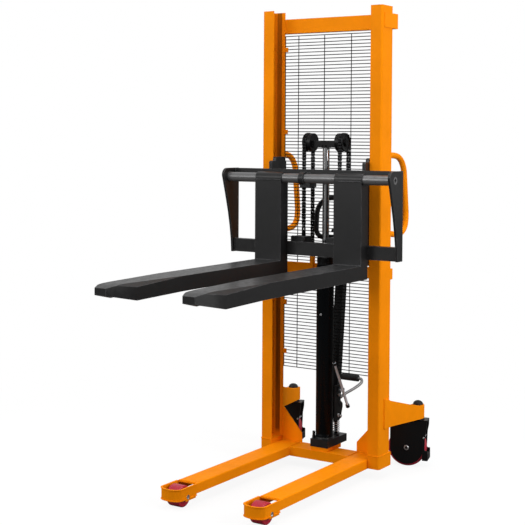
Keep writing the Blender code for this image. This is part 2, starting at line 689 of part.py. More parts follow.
# ----------------------------------------------------------------------- forks
FORK_W, FORK_WALL = 0.1300, 0.0060
FORK_X = {"right": 0.2025, "left": -0.1845}
FORK_TIP, FORK_FRONT, FORK_BACK = -1.2120, -0.1235, -0.0660
FORK_TOP, FORK_BOT = 0.9062, 0.8475
HOOK_R = 0.0255
NOSE_HALF = 0.0260        # half width at the tip


def shoulder_cut(edge, sign):
    """Wedge that slopes the upper edge of a blade more and more toward its tip."""
    width, drop, over = 0.0347, 0.0229, 0.004
    slope = width / drop
    outside = edge + sign * over
    rings = [[(edge - sign * (share * width + over * slope), y, FORK_TOP + over),
              (outside, y, FORK_TOP + over),
              (outside, y, FORK_TOP - share * drop - over / slope)]
             for y, share in ((-0.8000, 0.0), (-1.2500, 1.0))]
    return skin(rings)


def nose_cut(middle, sign):
    """Prism that narrows one side of the blade toward the tip."""
    edge = middle + sign * FORK_W / 2
    outside = edge + sign * 0.01
    nose = middle + sign * NOSE_HALF
    outline = [(outside, -1.2500), (nose, -1.2500), (nose, FORK_TIP),
               (nose + sign * 0.0110, -1.1850), (nose + sign * 0.0245, -1.1400),
               (edge, -1.0850), (outside, -1.0850)]
    return prism(outline, "Z", 0.80, 0.95)


def fork(middle):
    """Hooked fork, hollow from below and from behind."""
    x0, x1 = middle - FORK_W / 2, middle + FORK_W / 2
    # side view (y, z)
    profile = [(FORK_BACK, FORK_BOT), (FORK_BACK, 1.2400)]
    profile += arc(BAR_Y, BAR_Z, HOOK_R, 10, 180, 10)
    profile += [(FORK_FRONT, FORK_TOP), (-1.1200, FORK_TOP), (-1.1550, 0.9050),
                (-1.1850, 0.9015), (FORK_TIP, 0.8955), (FORK_TIP, 0.8690),
                (-1.0850, 0.8425), (-0.8200, FORK_BOT)]
    cuts = [shoulder_cut(middle + sign * FORK_W / 2, sign) for sign in (-1, 1)]
    cuts += [nose_cut(middle, sign) for sign in (-1, 1)]
    inner0, inner1, inner_nose = x0 + FORK_WALL, x1 - FORK_WALL, NOSE_HALF - 0.004
    blade = block(inner0, inner1, -0.7800, -0.05, 0.80, FORK_TOP - FORK_WALL)
    front = prism([(inner0, -1.0780), (middle - inner_nose, -1.1880),
                   (middle + inner_nose, -1.1880), (inner1, -1.0780),
                   (inner1, -0.77), (inner0, -0.77)], "Z", 0.80, FORK_TOP - 0.0225)
    shank = block(inner0, inner1, FORK_FRONT + 0.0046, -0.05, FORK_TOP - 0.02, 1.2290)
    bar_bore = rod("X", (middle, BAR_Y, BAR_Z), BAR_R + 0.0005, -0.1, 0.1, 32)
    return combine(prism(profile, "X", x0, x1), cut=cuts + [blade, front, shank, bar_bore])


for side, x in FORK_X.items():
    node("fork_" + side, "grey", fork(x), (x, BAR_Y, BAR_Z))

# ------------------------------------------------------------------------ pump
PIVOT = (0, 0.1100, 0.2220)            # rocker and tiller pivot
# The tiller's own frame has the pivot at its origin; TURN brings it to the rest angle.
TURN = Matrix.Translation(PIVOT) @ Matrix.Rotation(math.radians(-6.0), 4, "X")
TILLER_Y = 0.0212                      # tiller centreline in its own frame
CONTROL_PIN = (0, TILLER_Y, 0.8260)    # control lever pin in the tiller's frame
LEVER_AT = (0.0550, 0.1135, 0.3355)    # lowering lever's pivot
PEDAL_END = (0.2815, 0.3555)           # (y, z) of the foot pedal's cross bar


def pump_bracket():
    # cheek outline (y, z)
    cheek = prism([(0.0748, 0.2000), (0.1230, 0.2000), (0.1280, 0.2100), (0.1280, 0.3450),
                   (0.1200, 0.3550), (0.0748, 0.3550)], "X", 0.0305, 0.0365)
    tie = block(-0.0335, 0.0335, 0.0905, 0.0955, 0.2500, 0.3500)
    pin = rod("X", PIVOT, 0.0060, -0.0335, 0.0335, 16)
    return combine(tie, both_sides(cheek) + [pin])


def pump_rocker():
    # side view (y, z); the socket under the tiller is given in the tiller's frame
    socket = [(0.0400, 0.0600), (0.0400, 0.1147), (0.0024, 0.1147), (0.0024, 0.0500)]
    outline = arc(PIVOT[1], PIVOT[2], 0.0140, 165, 262, 5)
    outline += arc(PLUNGER_Y, 0.2086, 0.0110, -98, 40, 6)
    outline += [(0.1750, 0.2480), (0.1745, 0.2620)]
    outline += [tuple((TURN @ Vector((0, y, z))).yz) for y, z in socket]
    bore = rod("X", PIVOT, 0.0064, -0.05, 0.05, 16)
    return combine(prism(outline, "X", -0.0225, 0.0225), cut=[bore])


def tiller():
    """Square tube with a loop handle and a slotted hub for the control lever."""
    def flipped(points):
        return [(-x, z) for x, z in reversed(points)]

    tube = block(-0.0200, 0.0200, TILLER_Y - 0.0165, TILLER_Y + 0.0165, 0.1152, 0.7700)
    upper = arc(0.0690, 0.8720, 0.0750, 0, 90, 7)
    lower = arc(0.1080, 0.8060, 0.0350, -80, 0, 4)
    outline = upper + flipped(upper) + flipped(lower) + lower
    handle = sweep([(x, TILLER_Y, z) for x, z in outline], 0.0115, 8, loop=True)
    hub = block(-0.0160, 0.0160, TILLER_Y - 0.0110, TILLER_Y + 0.0110, 0.7600, 0.8430)
    slot = block(-0.05, 0.05, TILLER_Y - 0.0043, TILLER_Y + 0.0043, 0.8080, 0.86)
    pin = rod("Y", CONTROL_PIN, 0.0040, -0.0100, 0.0100, 12)
    return turned(combine(combine(tube, [handle, hub], [slot]), [pin]), TURN)


def control_lever():
    # outline (x, z) in the tiller's frame
    outline = [(0.0080, 0.8180), (0.0080, 0.8340), (-0.0100, 0.8360), (-0.0620, 0.8060),
               (-0.0640, 0.7960), (-0.0560, 0.7950), (-0.0120, 0.8170)]
    lever = prism(outline, "Y", TILLER_Y - 0.0038, TILLER_Y + 0.0038)
    bore = rod("Y", CONTROL_PIN, 0.0043, -0.05, 0.05, 12)
    return turned(combine(lever, cut=[bore]), TURN)


def pump_plunger():
    bottom, head, top, radius, head_radius = 0.1280, 0.1945, 0.1970, 0.0080, 0.0175
    return lathe([(bottom, 0), (bottom, radius), (head, radius), (head, head_radius),
                  (top, head_radius), (top, 0)], "Z", (0, PLUNGER_Y, 0), 24)


def pump_spring():
    turns, steps, radius, bottom, top = 6, 10, 0.0142, 0.1338, 0.1918
    coil = []
    for i in range(turns * steps + 1):
        angle = 2 * math.pi * i / steps
        coil.append((radius * math.cos(angle), PLUNGER_Y + radius * math.sin(angle),
                     bottom + (top - bottom) * i / (turns * steps)))
    return sweep(coil, 0.0020, 5)


def foot_pedal():
    path = [(0.0300, 0.1420, 0.2945), (0.0300, 0.1600, 0.3000), (0.0370, 0.1850, 0.3085),
            (0.0480, 0.2220, 0.3190), (0.0600, 0.2580, 0.3340), (0.0630, 0.2730, 0.3440),
            (0.0580, 0.2800, 0.3525), (0.0470, *PEDAL_END), (0.0380, *PEDAL_END),
            (-0.0380, *PEDAL_END)]
    return sweep(smooth_path(path, 2), 0.0064, 8)


def pedal_grip():
    end, radius, bore = 0.0125, 0.0145, 0.0080
    profile = [(-0.0440, 0), (-0.0440, end), (-0.0410, radius), (0.0390, radius),
               (0.0420, end), (0.0420, bore), (-0.0400, bore), (-0.0400, 0)]
    return lathe(profile, "X", (0, *PEDAL_END), 20)


def lowering_lever():
    low = Vector((LEVER_AT[0], 0.1600, 0.2560))
    top = Vector((LEVER_AT[0], 0.0400, 0.4610))
    down = (low - top).normalized()
    tips = [sweep([low - down * 0.008, low + down * 0.006], 0.0085, 12),
            sweep([top - down * 0.006, top + down * 0.008], 0.0080, 12)]
    boss = rod("X", (0, *LEVER_AT[1:]), 0.0090, 0.0369, 0.0600, 16)
    return combine(sweep([top, LEVER_AT, low], 0.0060, 12), tips + [boss])


node("pump_bracket", "black", pump_bracket())
node("pump_rocker", "black", pump_rocker(), PIVOT)
node("tiller", "black", tiller(), PIVOT)
node("control_lever", "black", control_lever(), TURN @ Vector(CONTROL_PIN))
node("pump_plunger", "steel", pump_plunger(), (0, PLUNGER_Y, 0.16), smooth=True)
node("pump_spring", "steel", pump_spring(), smooth=True)
node("foot_pedal", "chrome", foot_pedal(), PIVOT, smooth=True)
node("pedal_grip", "rubber", pedal_grip(), PIVOT, smooth=True)
node("lowering_lever", "chrome", lowering_lever(), LEVER_AT, smooth=True)
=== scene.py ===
"""Looks of the hand hydraulic stacker: every visible surface, the studio and the camera.

All lengths are metres.  Pieces are laid out from the mast: Y is measured from the
front face of the uprights and X from their middle, then moved into the row frame.
"""
import json
import math
import random

import bmesh
import bpy
import numpy as np
from mathutils import Matrix, Vector


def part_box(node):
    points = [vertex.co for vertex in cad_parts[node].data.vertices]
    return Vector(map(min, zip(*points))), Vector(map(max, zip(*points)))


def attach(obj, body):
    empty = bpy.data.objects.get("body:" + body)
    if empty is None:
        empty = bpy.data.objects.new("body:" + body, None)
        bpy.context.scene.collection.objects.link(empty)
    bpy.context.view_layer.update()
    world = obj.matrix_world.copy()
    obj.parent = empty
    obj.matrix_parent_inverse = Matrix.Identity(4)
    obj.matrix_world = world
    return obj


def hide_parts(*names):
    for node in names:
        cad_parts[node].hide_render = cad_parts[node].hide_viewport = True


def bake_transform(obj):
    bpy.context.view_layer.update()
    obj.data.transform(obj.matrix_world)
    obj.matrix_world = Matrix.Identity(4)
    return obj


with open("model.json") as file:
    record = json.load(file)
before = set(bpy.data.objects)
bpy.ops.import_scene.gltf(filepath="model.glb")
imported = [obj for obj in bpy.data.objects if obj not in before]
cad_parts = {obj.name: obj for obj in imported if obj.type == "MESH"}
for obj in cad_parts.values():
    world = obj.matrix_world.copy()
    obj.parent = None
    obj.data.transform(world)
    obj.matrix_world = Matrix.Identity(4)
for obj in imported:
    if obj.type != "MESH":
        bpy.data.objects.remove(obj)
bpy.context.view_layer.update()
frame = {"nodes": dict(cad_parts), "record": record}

scene = bpy.context.scene
rnd = random.Random(7)

_ll, _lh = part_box("mast_channel_left")
_rl, _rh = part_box("mast_channel_right")
FX = (_ll.x + _rh.x) / 2
FY = _rl.y + 0.0012
OFF = Vector((FX, FY, 0.0))


def at(x, y, z):
    return Vector((x + FX, y + FY, z))


# ===================================================================== materials
class Nodes:
    """Small helper for wiring shader nodes."""

    def __init__(self, name):
        self.mat = bpy.data.materials.new(name)
        self.mat.use_nodes = True
        self.t = self.mat.node_tree
        self.bsdf = self.t.nodes["Principled BSDF"]
        self.out = self.t.nodes["Material Output"]
        self.coord = self.t.nodes.new("ShaderNodeTexCoord").outputs["Object"]

    def new(self, kind, **values):
        n = self.t.nodes.new(kind)
        for k, v in values.items():
            setattr(n, k, v)
        return n

    def link(self, a, b):
        self.t.links.new(a, b)

    def noise(self, scale, detail=2.0, rough=0.5, stretch=None):
        n = self.new("ShaderNodeTexNoise")
        n.inputs["Scale"].default_value = scale
        n.inputs["Detail"].default_value = detail
        n.inputs["Roughness"].default_value = rough
        src = self.coord
        if stretch is not None:
            m = self.new("ShaderNodeMapping")
            m.inputs["Scale"].default_value = stretch
            self.link(src, m.inputs["Vector"])
            src = m.outputs["Vector"]
        self.link(src, n.inputs["Vector"])
        return n.outputs["Fac"]

    def ramp(self, fac, stops):
        r = self.new("ShaderNodeValToRGB")
        els = r.color_ramp.elements
        while len(els) < len(stops):
            els.new(0.5)
        for e, (p, c) in zip(els, stops):
            e.position = p
            e.color = c if len(c) == 4 else (*c, 1.0)
        self.link(fac, r.inputs["Fac"])
        return r.outputs["Color"]

    def remap(self, fac, a, b, lo, hi):
        m = self.new("ShaderNodeMapRange")
        m.inputs["From Min"].default_value = a
        m.inputs["From Max"].default_value = b
        m.inputs["To Min"].default_value = lo
        m.inputs["To Max"].default_value = hi
        self.link(fac, m.inputs["Value"])
        return m.outputs["Result"]

    def mix(self, fac, a, b):
        m = self.new("ShaderNodeMix", data_type="RGBA")
        for s, v in ((m.inputs["Factor"], fac), (m.inputs["A"], a), (m.inputs["B"], b)):
            pass
        ins = [i for i in m.inputs if i.enabled]
        for s, v in zip(ins, (fac, a, b)):
            if isinstance(v, (int, float)):
                s.default_value = v
            elif isinstance(v, (tuple, list)):
                s.default_value = v if len(v) == 4 else (*v, 1.0)
            else:
                self.link(v, s)
        return [o for o in m.outputs if o.enabled][0]

    def math(self, op, a, b=None):
        m = self.new("ShaderNodeMath", operation=op)
        for i, v in enumerate((a, b)):
            if v is None:
                continue
            if isinstance(v, (int, float)):
                m.inputs[i].default_value = v
            else:
                self.link(v, m.inputs[i])
        return m.outputs[0]

    def bump(self, height, distance, strength=1.0, after=None):
        b = self.new("ShaderNodeBump")
        b.inputs["Strength"].default_value = strength
        b.inputs["Distance"].default_value = distance
        self.link(height, b.inputs["Height"])
        if after is not None:
            self.link(after, b.inputs["Normal"])
        return b.outputs["Normal"]

    def edge(self, radius=0.0012, samples=4):
        """1 on sharp outer edges, 0 on flats."""
        b = self.new("ShaderNodeBevel", samples=samples)
        b.inputs["Radius"].default_value = radius
        g = self.new("ShaderNodeNewGeometry")
        d = self.new("ShaderNodeVectorMath", operation="DOT_PRODUCT")
        self.link(b.outputs["Normal"], d.inputs[0])
        self.link(g.outputs["Normal"], d.inputs[1])
        return self.remap(d.outputs["Value"], 0.999, 0.93, 0.0, 1.0)

    def hollow(self, distance=0.02, samples=4):
        """1 in the open, lower in corners."""
        a = self.new("ShaderNodeAmbientOcclusion", samples=samples)
        a.inputs["Distance"].default_value = distance
        return a.outputs["AO"]

    def set(self, **values):
        for k, v in values.items():
            s = self.bsdf.inputs[k.replace("_", " ")]
            if isinstance(v, (int, float)):
                s.default_value = v
            elif isinstance(v, (tuple, list)):
                s.default_value = v if len(v) == 4 else (*v, 1.0)
            else:
                self.link(v, s)


def scaled(c, k):
    return tuple(min(1.0, x * k) for x in c)


def paint(name, base, rough, peel=0.00002, peel_scale=900.0, coat=0.08, edge_light=1.12,
          corner_shade_tone=0.82, mottle=0.06, edge_radius=0.0010, spec=0.32, recess_shade=None):
    """Powder coat: orange peel, faint cloudiness, thin bright edges that are part wear and part painted highlight,
    painted shade in corners.
    """
    n = Nodes(name)
    cloud = n.noise(5.0, 4.0, 0.6)
    fine = n.noise(60.0, 3.0, 0.6)
    c1 = n.ramp(cloud, [(0.35, scaled(base, 1.0 - mottle)), (0.65, scaled(base, 1.0 + mottle))])
    c2 = n.mix(n.remap(fine, 0.45, 0.75, 0.0, 0.25), c1, scaled(base, 0.9))
    # painted shade: the colour darkens towards the base tone in corners and hollows found by ambient occlusion
    ao = n.hollow(0.018)
    corner_shade = n.remap(ao, 0.35, 0.85, 1.0, 0.0)
    c3 = n.mix(n.math("MULTIPLY", corner_shade, 0.6), c2, scaled(base, corner_shade_tone))
    # the optional function here paints shade into the channel recess of the uprights
    if recess_shade is not None:
        c3 = recess_shade(n, c3)
    # edges lightened by edge_light and broken up by noise like wear; where edge_light is large this is mostly a
    # painted highlight along the edges
    e = n.edge(edge_radius)
    edge_wear_and_highlight = n.math("MULTIPLY", e, n.remap(n.noise(35.0, 3.0, 0.7), 0.42, 0.62, 0.15, 0.8))
    c4 = n.mix(edge_wear_and_highlight, c3, scaled(base, edge_light))
    peel_n = n.noise(peel_scale, 2.0, 0.5)
    grain = n.noise(peel_scale * 3.1, 1.0, 0.5)
    nb = n.bump(peel_n, peel, 1.0)
    nb = n.bump(grain, peel * 0.35, 0.8, after=nb)
    r = n.remap(fine, 0.3, 0.7, rough - 0.05, rough + 0.07)
    n.set(Base_Color=c4, Roughness=r, Normal=nb, Coat_Weight=coat, Coat_Roughness=0.18)
    n.bsdf.inputs["Specular IOR Level"].default_value = spec
    return n.mat


def channel_recess_shade(n, colour):
    """Painted shade: dark brown streaks on the inner faces of the uprights inside the channel recess, leaving a
    lit strip by the flange tip.
    """
    g = n.new("ShaderNodeNewGeometry")
    sep = n.new("ShaderNodeSeparateXYZ")
    n.link(g.outputs["Position"], sep.inputs[0])
    across = n.math("ABSOLUTE", n.math("SUBTRACT", sep.outputs[0], FX))
    along = n.math("SUBTRACT", sep.outputs[1], FY)
    web = n.remap(across, 0.2866, 0.2873, 1.0, 0.0)
    front = n.remap(along, 0.0042, 0.0048, 0.0, 1.0)
    back = n.remap(along, 0.0927, 0.0932, 1.0, 0.0)
    above = n.remap(sep.outputs[2], 0.10, 0.13, 0.0, 1.0)
    inner = n.math("MULTIPLY", n.math("MULTIPLY", web, front), n.math("MULTIPLY", back, above))
    streak = n.remap(n.noise(26.0, 4.0, 0.65, stretch=(1, 1, 0.06)), 0.3, 0.7, 0.55, 1.0)
    # tip keeps a lit strip by the flange edge; root weakens the painted shade next to the web
    tip = n.remap(across, 0.2520, 0.2545, 0.0, 1.0)
    root = n.remap(across, 0.2740, 0.2810, 1.0, 0.30)
    m = n.math("MULTIPLY", n.math("MULTIPLY", inner, streak), n.math("MULTIPLY", tip, root))
    return n.mix(m, colour, (0.12, 0.036, 0.0020))


def metal(name, base, rough, brush=(1, 1, 60), scale=40.0, depth=0.00001, stain=0.25, dark=0.6,
          rim=0.0, metallic=1.0):
    n = Nodes(name)
    lines = n.noise(scale, 4.0, 0.65, stretch=brush)
    cloud = n.noise(14.0, 3.0, 0.6)
    c1 = n.mix(n.remap(cloud, 0.35, 0.7, 0.0, stain), base, scaled(base, dark))
    c2 = n.mix(n.remap(lines, 0.4, 0.7, 0.0, 0.3), c1, scaled(base, 0.8))
    # painted shade: the colour darkens in corners and hollows found by ambient occlusion
    ao = n.hollow(0.008)
    c3 = n.mix(n.remap(ao, 0.3, 0.8, 0.65, 0.0), c2, scaled(base, 0.25))
    r = n.remap(lines, 0.3, 0.7, rough - 0.05, rough + 0.1)
    # painted shade and reflection: the colour darkens towards the outline, where the surface turns away from the
    # view
    if rim:
        lw = n.new("ShaderNodeLayerWeight")
        lw.inputs["Blend"].default_value = 0.5
        c3 = n.mix(n.remap(lw.outputs["Facing"], 0.25, 0.75, 0.0, rim), c3, scaled(base, 0.06))
    n.set(Base_Color=c3, Metallic=metallic, Roughness=r, Normal=n.bump(lines, depth, 1.0))
    return n.mat


def plastic(name, base, rough, grain=0.00003, scale=500.0, sub=0.0, mottle=0.08, spec=0.5):
    n = Nodes(name)
    cloud = n.noise(18.0, 4.0, 0.6)
    c1 = n.ramp(cloud, [(0.35, scaled(base, 1 - mottle)), (0.65, scaled(base, 1 + mottle))])
    scuff = n.remap(n.noise(70.0, 5.0, 0.7), 0.58, 0.7, 0.0, 0.35)
    c2 = n.mix(scuff, c1, tuple(0.75 * x + 0.03 for x in base))
    # painted shade: the colour darkens in corners and hollows found by ambient occlusion
    corner_shade = n.remap(n.hollow(0.01), 0.3, 0.8, 0.7, 0.0)
    c3 = n.mix(corner_shade, c2, scaled(base, 0.45))
    g = n.noise(scale, 2.0, 0.6)
    r = n.remap(cloud, 0.3, 0.7, rough - 0.06, rough + 0.08)
    n.set(Base_Color=c3, Roughness=r, Normal=n.bump(g, grain, 1.0))
    n.bsdf.inputs["Specular IOR Level"].default_value = spec
    if sub:
        n.bsdf.inputs["Subsurface Weight"].default_value = sub
        n.bsdf.inputs["Subsurface Radius"].default_value = (0.006, 0.001, 0.001)
    return n.mat


ORANGE = paint("orange_powder_coat", (0.90, 0.258, 0.0026), 0.46, coat=0.0, spec=0.02)
# MAST: the same orange with painted shade inside the channel recess of the uprights
MAST = paint("orange_powder_coat_mast", (0.90, 0.258, 0.0026), 0.46, coat=0.0, spec=0.02,
             recess_shade=channel_recess_shade)
# GREY, BAR, TUBE and BLACK use a large edge_light: painted highlight lines along their edges
GREY = paint("charcoal_powder_coat", (0.0108, 0.0108, 0.0113), 0.36, peel=0.00004,
             peel_scale=1300.0, coat=0.05, edge_light=14.0, corner_shade_tone=0.6, mottle=0.10,
             edge_radius=0.0026, spec=0.30)
# painted highlight: the bar's base colour is several times lighter than the carriage charcoal, standing in for its
# bright highlight; the bar-end rims use it too
BAR = paint("charcoal_powder_coat_gloss", (0.0750, 0.0750, 0.0770), 0.32, peel=0.0000006,
            peel_scale=300.0, coat=0.0, edge_light=6.0, corner_shade_tone=0.6, mottle=0.10,
            edge_radius=0.0010, spec=1.0)
TUBE = paint("black_tube_enamel", (0.0016, 0.0024, 0.0032), 0.30, peel=0.000001, peel_scale=300.0,
             coat=0.0, edge_light=6.0, corner_shade_tone=0.7, mottle=0.10, edge_radius=0.0008, spec=0.09)
BLACK = paint("black_enamel", (0.0040, 0.0040, 0.0044), 0.34, peel=0.00002, peel_scale=700.0,
              coat=0.03, edge_light=10.0, corner_shade_tone=0.7, mottle=0.15, edge_radius=0.0012, spec=0.15)
CHAIN = metal("oiled_chain_steel", (0.024, 0.024, 0.025), 0.32, brush=(1, 1, 1), scale=300.0,
              depth=0.00002, dark=0.5)
STEEL = metal("zinc_plated_steel", (0.64, 0.64, 0.655), 0.30)
# rim paints dark reflections along the outlines of the chrome rod, the lever rod and the pedal tube
CHROME = metal("hard_chrome", (0.80, 0.80, 0.81), 0.12, brush=(1, 1, 6), scale=90.0,
               depth=0.000002, stain=0.08, dark=0.85, rim=0.96)
BRUSHED = metal("brushed_chrome", (0.55, 0.55, 0.555), 0.42, brush=(30, 30, 1), scale=60.0,
                depth=0.000008, stain=0.15, dark=0.7, rim=0.7, metallic=0.35)
LEVER = metal("satin_steel_rod", (0.62, 0.68, 0.74), 0.38, brush=(30, 30, 1), scale=60.0,
              depth=0.000008, stain=0.10, dark=0.8, rim=0.85, metallic=0.0)
PEDAL = metal("satin_steel_tube", (0.30, 0.30, 0.305), 0.32, brush=(30, 30, 1), scale=60.0,
              depth=0.000008, stain=0.15, dark=0.7, rim=0.9, metallic=0.2)
RUBBER = plastic("black_rubber", (0.010, 0.010, 0.011), 0.62, grain=0.00006, scale=900.0, spec=0.3)
RED = plastic("red_polyurethane", (0.43, 0.009, 0.030), 0.40, grain=0.00002, scale=300.0,
              sub=0.08)
WIRE = plastic("coated_wire", (0.003, 0.003, 0.003), 0.5, grain=0.00001, scale=1500.0, mottle=0.02,
               spec=0.08)
CAST = plastic("black_casting", (0.006, 0.006, 0.0066), 0.42, grain=0.00020, scale=420.0, spec=0.30)


# ================================================================= mesh builders
def finish(bm):
    bmesh.ops.remove_doubles(bm, verts=bm.verts, dist=1e-7)
    bmesh.ops.recalc_face_normals(bm, faces=bm.faces)
    if bm.calc_volume(signed=True) < 0:
        bmesh.ops.reverse_faces(bm, faces=bm.faces)
    return bm


def prism(poly, axis, a, b):
    put = {"X": lambda p, t: (t, p[0], p[1]),
           "Y": lambda p, t: (p[0], t, p[1]),
           "Z": lambda p, t: (p[0], p[1], t)}[axis]
    bm = bmesh.new()
    face = bm.faces.new([bm.verts.new(put(p, a)) for p in poly])
    ext = bmesh.ops.extrude_face_region(bm, geom=[face])
    moved = [v for v in ext["geom"] if isinstance(v, bmesh.types.BMVert)]
    step = Vector(put((0, 0), b)) - Vector(put((0, 0), a))
    bmesh.ops.translate(bm, verts=moved, vec=step)
    return finish(bm)


def block(x0, x1, y0, y1, z0, z1):
    return prism([(x0, y0), (x1, y0), (x1, y1), (x0, y1)], "Z", z0, z1)


def arc(cx, cy, r, a0, a1, n):
    return [(cx + r * math.cos(math.radians(a0 + (a1 - a0) * i / n)),
             cy + r * math.sin(math.radians(a0 + (a1 - a0) * i / n)))
            for i in range(n + 1)]


def rounded(points, r, n=5):
    """Polygon with its corners rounded; r may be a list, one radius per corner."""
    out = []
    k = len(points)
    for i, p in enumerate(points):
        rr = r[i] if isinstance(r, (list, tuple)) else r
        a, b, c = Vector(points[i - 1]), Vector(p), Vector(points[(i + 1) % k])
        u, v = (a - b), (c - b)
        if rr <= 1e-6 or u.length < 1e-9 or v.length < 1e-9:
            out.append(tuple(b))
            continue
        lu, lv = u.length, v.length
        u.normalize()
        v.normalize()
        ang = u.angle(v)
        if ang > math.radians(179):
            out.append(tuple(b))
            continue
        d = min(rr / math.tan(ang / 2), lu * 0.49, lv * 0.49)
        re = d * math.tan(ang / 2)
        mid = (u + v).normalized()
        cen = b + mid * (re / math.sin(ang / 2))
        p0, p1 = b + u * d, b + v * d
        a0 = math.atan2(p0.y - cen.y, p0.x - cen.x)
        a1 = math.atan2(p1.y - cen.y, p1.x - cen.x)
        da = (a1 - a0 + math.pi) % (2 * math.pi) - math.pi
        for j in range(n + 1):
            t = a0 + da * j / n
            out.append((cen.x + re * math.cos(t), cen.y + re * math.sin(t)))
    return out


def lathe(profile, axis, centre, seg=64, closed=False):
    bm = bmesh.new()
    cx, cy, cz = centre

    def put(t, r, ang):
        c, s = r * math.cos(ang), r * math.sin(ang)
        return {"X": (cx + t, cy + c, cz + s),
                "Y": (cx + c, cy + t, cz + s),
                "Z": (cx + c, cy + s, cz + t)}[axis]

    rings = []
    for t, r in profile:
        if r < 1e-9:
            rings.append([bm.verts.new(put(t, 0, 0))])
        else:
            rings.append([bm.verts.new(put(t, r, -math.pi / 2 + 2 * math.pi * i / seg))
                          for i in range(seg)])
    pairs = list(zip(rings, rings[1:]))
    if closed:
        pairs.append((rings[-1], rings[0]))
    for p, q in pairs:
        for i in range(seg):
            j = (i + 1) % seg
            if len(p) == 1 and len(q) == 1:
                continue
            if len(p) == 1:
                bm.faces.new((p[0], q[j], q[i]))
            elif len(q) == 1:
                bm.faces.new((p[i], p[j], q[0]))
            else:
                bm.faces.new((p[i], p[j], q[j], q[i]))
    return finish(bm)


def rod(axis, centre, r, a, b, seg=32, chamfer=0.0):
    if chamfer > 0:
        prof = [(a, 0), (a, r - chamfer), (a + chamfer, r), (b - chamfer, r),
                (b, r - chamfer), (b, 0)]
    else:
        prof = [(a, 0), (a, r), (b, r), (b, 0)]
    return lathe(prof, axis, centre, seg)


def sweep(path, r, seg=16, ring=False, radii=None):
    pts = [Vector(p) for p in path]
    n = len(pts)
    tang = []
    for i in range(n):
        if ring:
            t = pts[(i + 1) % n] - pts[(i - 1) % n]
        else:
            t = pts[min(i + 1, n - 1)] - pts[max(i - 1, 0)]
        tang.append(t.normalized())
    ref = Vector((1, 0, 0)) if abs(tang[0].x) < 0.9 else Vector((0, 0, 1))
    nrm = (ref - tang[0] * ref.dot(tang[0])).normalized()
    bm = bmesh.new()
    rings = []
    for i in range(n):
        nrm = (nrm - tang[i] * nrm.dot(tang[i])).normalized()
        bi = tang[i].cross(nrm)
        rr = radii[i] if radii is not None else r
        rings.append([bm.verts.new(pts[i] + nrm * rr * math.cos(2 * math.pi * k / seg)
                                   + bi * rr * math.sin(2 * math.pi * k / seg))
                      for k in range(seg)])
    pairs = list(zip(rings, rings[1:]))
    if ring:
        pairs.append((rings[-1], rings[0]))
    for p, q in pairs:
        for k in range(seg):
            m = (k + 1) % seg
            bm.faces.new((p[k], p[m], q[m], q[k]))
    if not ring:
        bm.faces.new(rings[0])
        bm.faces.new(rings[-1])
    return finish(bm)


def smooth_path(pts, per=6):
    p = [np.array(q, float) for q in pts]
    p = [2 * p[0] - p[1]] + p + [2 * p[-1] - p[-2]]
    out = []
    for i in range(1, len(p) - 2):
        for k in range(per):
            t = k / per
            out.append(tuple(0.5 * ((2 * p[i]) + (-p[i - 1] + p[i + 1]) * t
                       + (2 * p[i - 1] - 5 * p[i] + 4 * p[i + 1] - p[i + 2]) * t * t
                       + (-p[i - 1] + 3 * p[i] - 3 * p[i + 1] + p[i + 2]) * t ** 3)))
    out.append(tuple(p[-2]))
    return out


def turned(bm, matrix):
    bmesh.ops.transform(bm, matrix=matrix, verts=bm.verts)
    return bm


def mirrored(bm):
    bmesh.ops.scale(bm, vec=(-1, 1, 1), verts=bm.verts)
    bmesh.ops.reverse_faces(bm, faces=bm.faces)
    return bm


def sided(bm, s):
    return bm if s > 0 else mirrored(bm)


def helper(bm):
    mesh = bpy.data.meshes.new("tool")
    bm.to_mesh(mesh)
    bm.free()
    ob = bpy.data.objects.new("tool", mesh)
    bpy.context.collection.objects.link(ob)
    return ob


def combine(first, add=(), cut=()):
    ob = helper(first)
    tools = []
    for op, group in (("UNION", add), ("DIFFERENCE", cut)):
        for bm in group:
            t = helper(bm)
            tools.append(t)
            mod = ob.modifiers.new(op, "BOOLEAN")
            mod.operation = op
            mod.solver = "EXACT"
            mod.object = t
    dg = bpy.context.evaluated_depsgraph_get()
    mesh = bpy.data.meshes.new_from_object(ob.evaluated_get(dg))
    bm = bmesh.new()
    bm.from_mesh(mesh)
    bpy.data.objects.remove(ob, do_unlink=True)
    for t in tools:
        bpy.data.objects.remove(t, do_unlink=True)
    bmesh.ops.remove_doubles(bm, verts=bm.verts, dist=2e-6)
    bmesh.ops.dissolve_limit(bm, angle_limit=math.radians(0.5), verts=bm.verts,
                             edges=bm.edges)
    return bm


def joined(parts):
    """Several closed solids in one mesh."""
    out = bmesh.new()
    for bm in parts:
        mesh = bpy.data.meshes.new("part")
        bm.to_mesh(mesh)
        bm.free()
        out.from_mesh(mesh)
        bpy.data.meshes.remove(mesh)
    return out


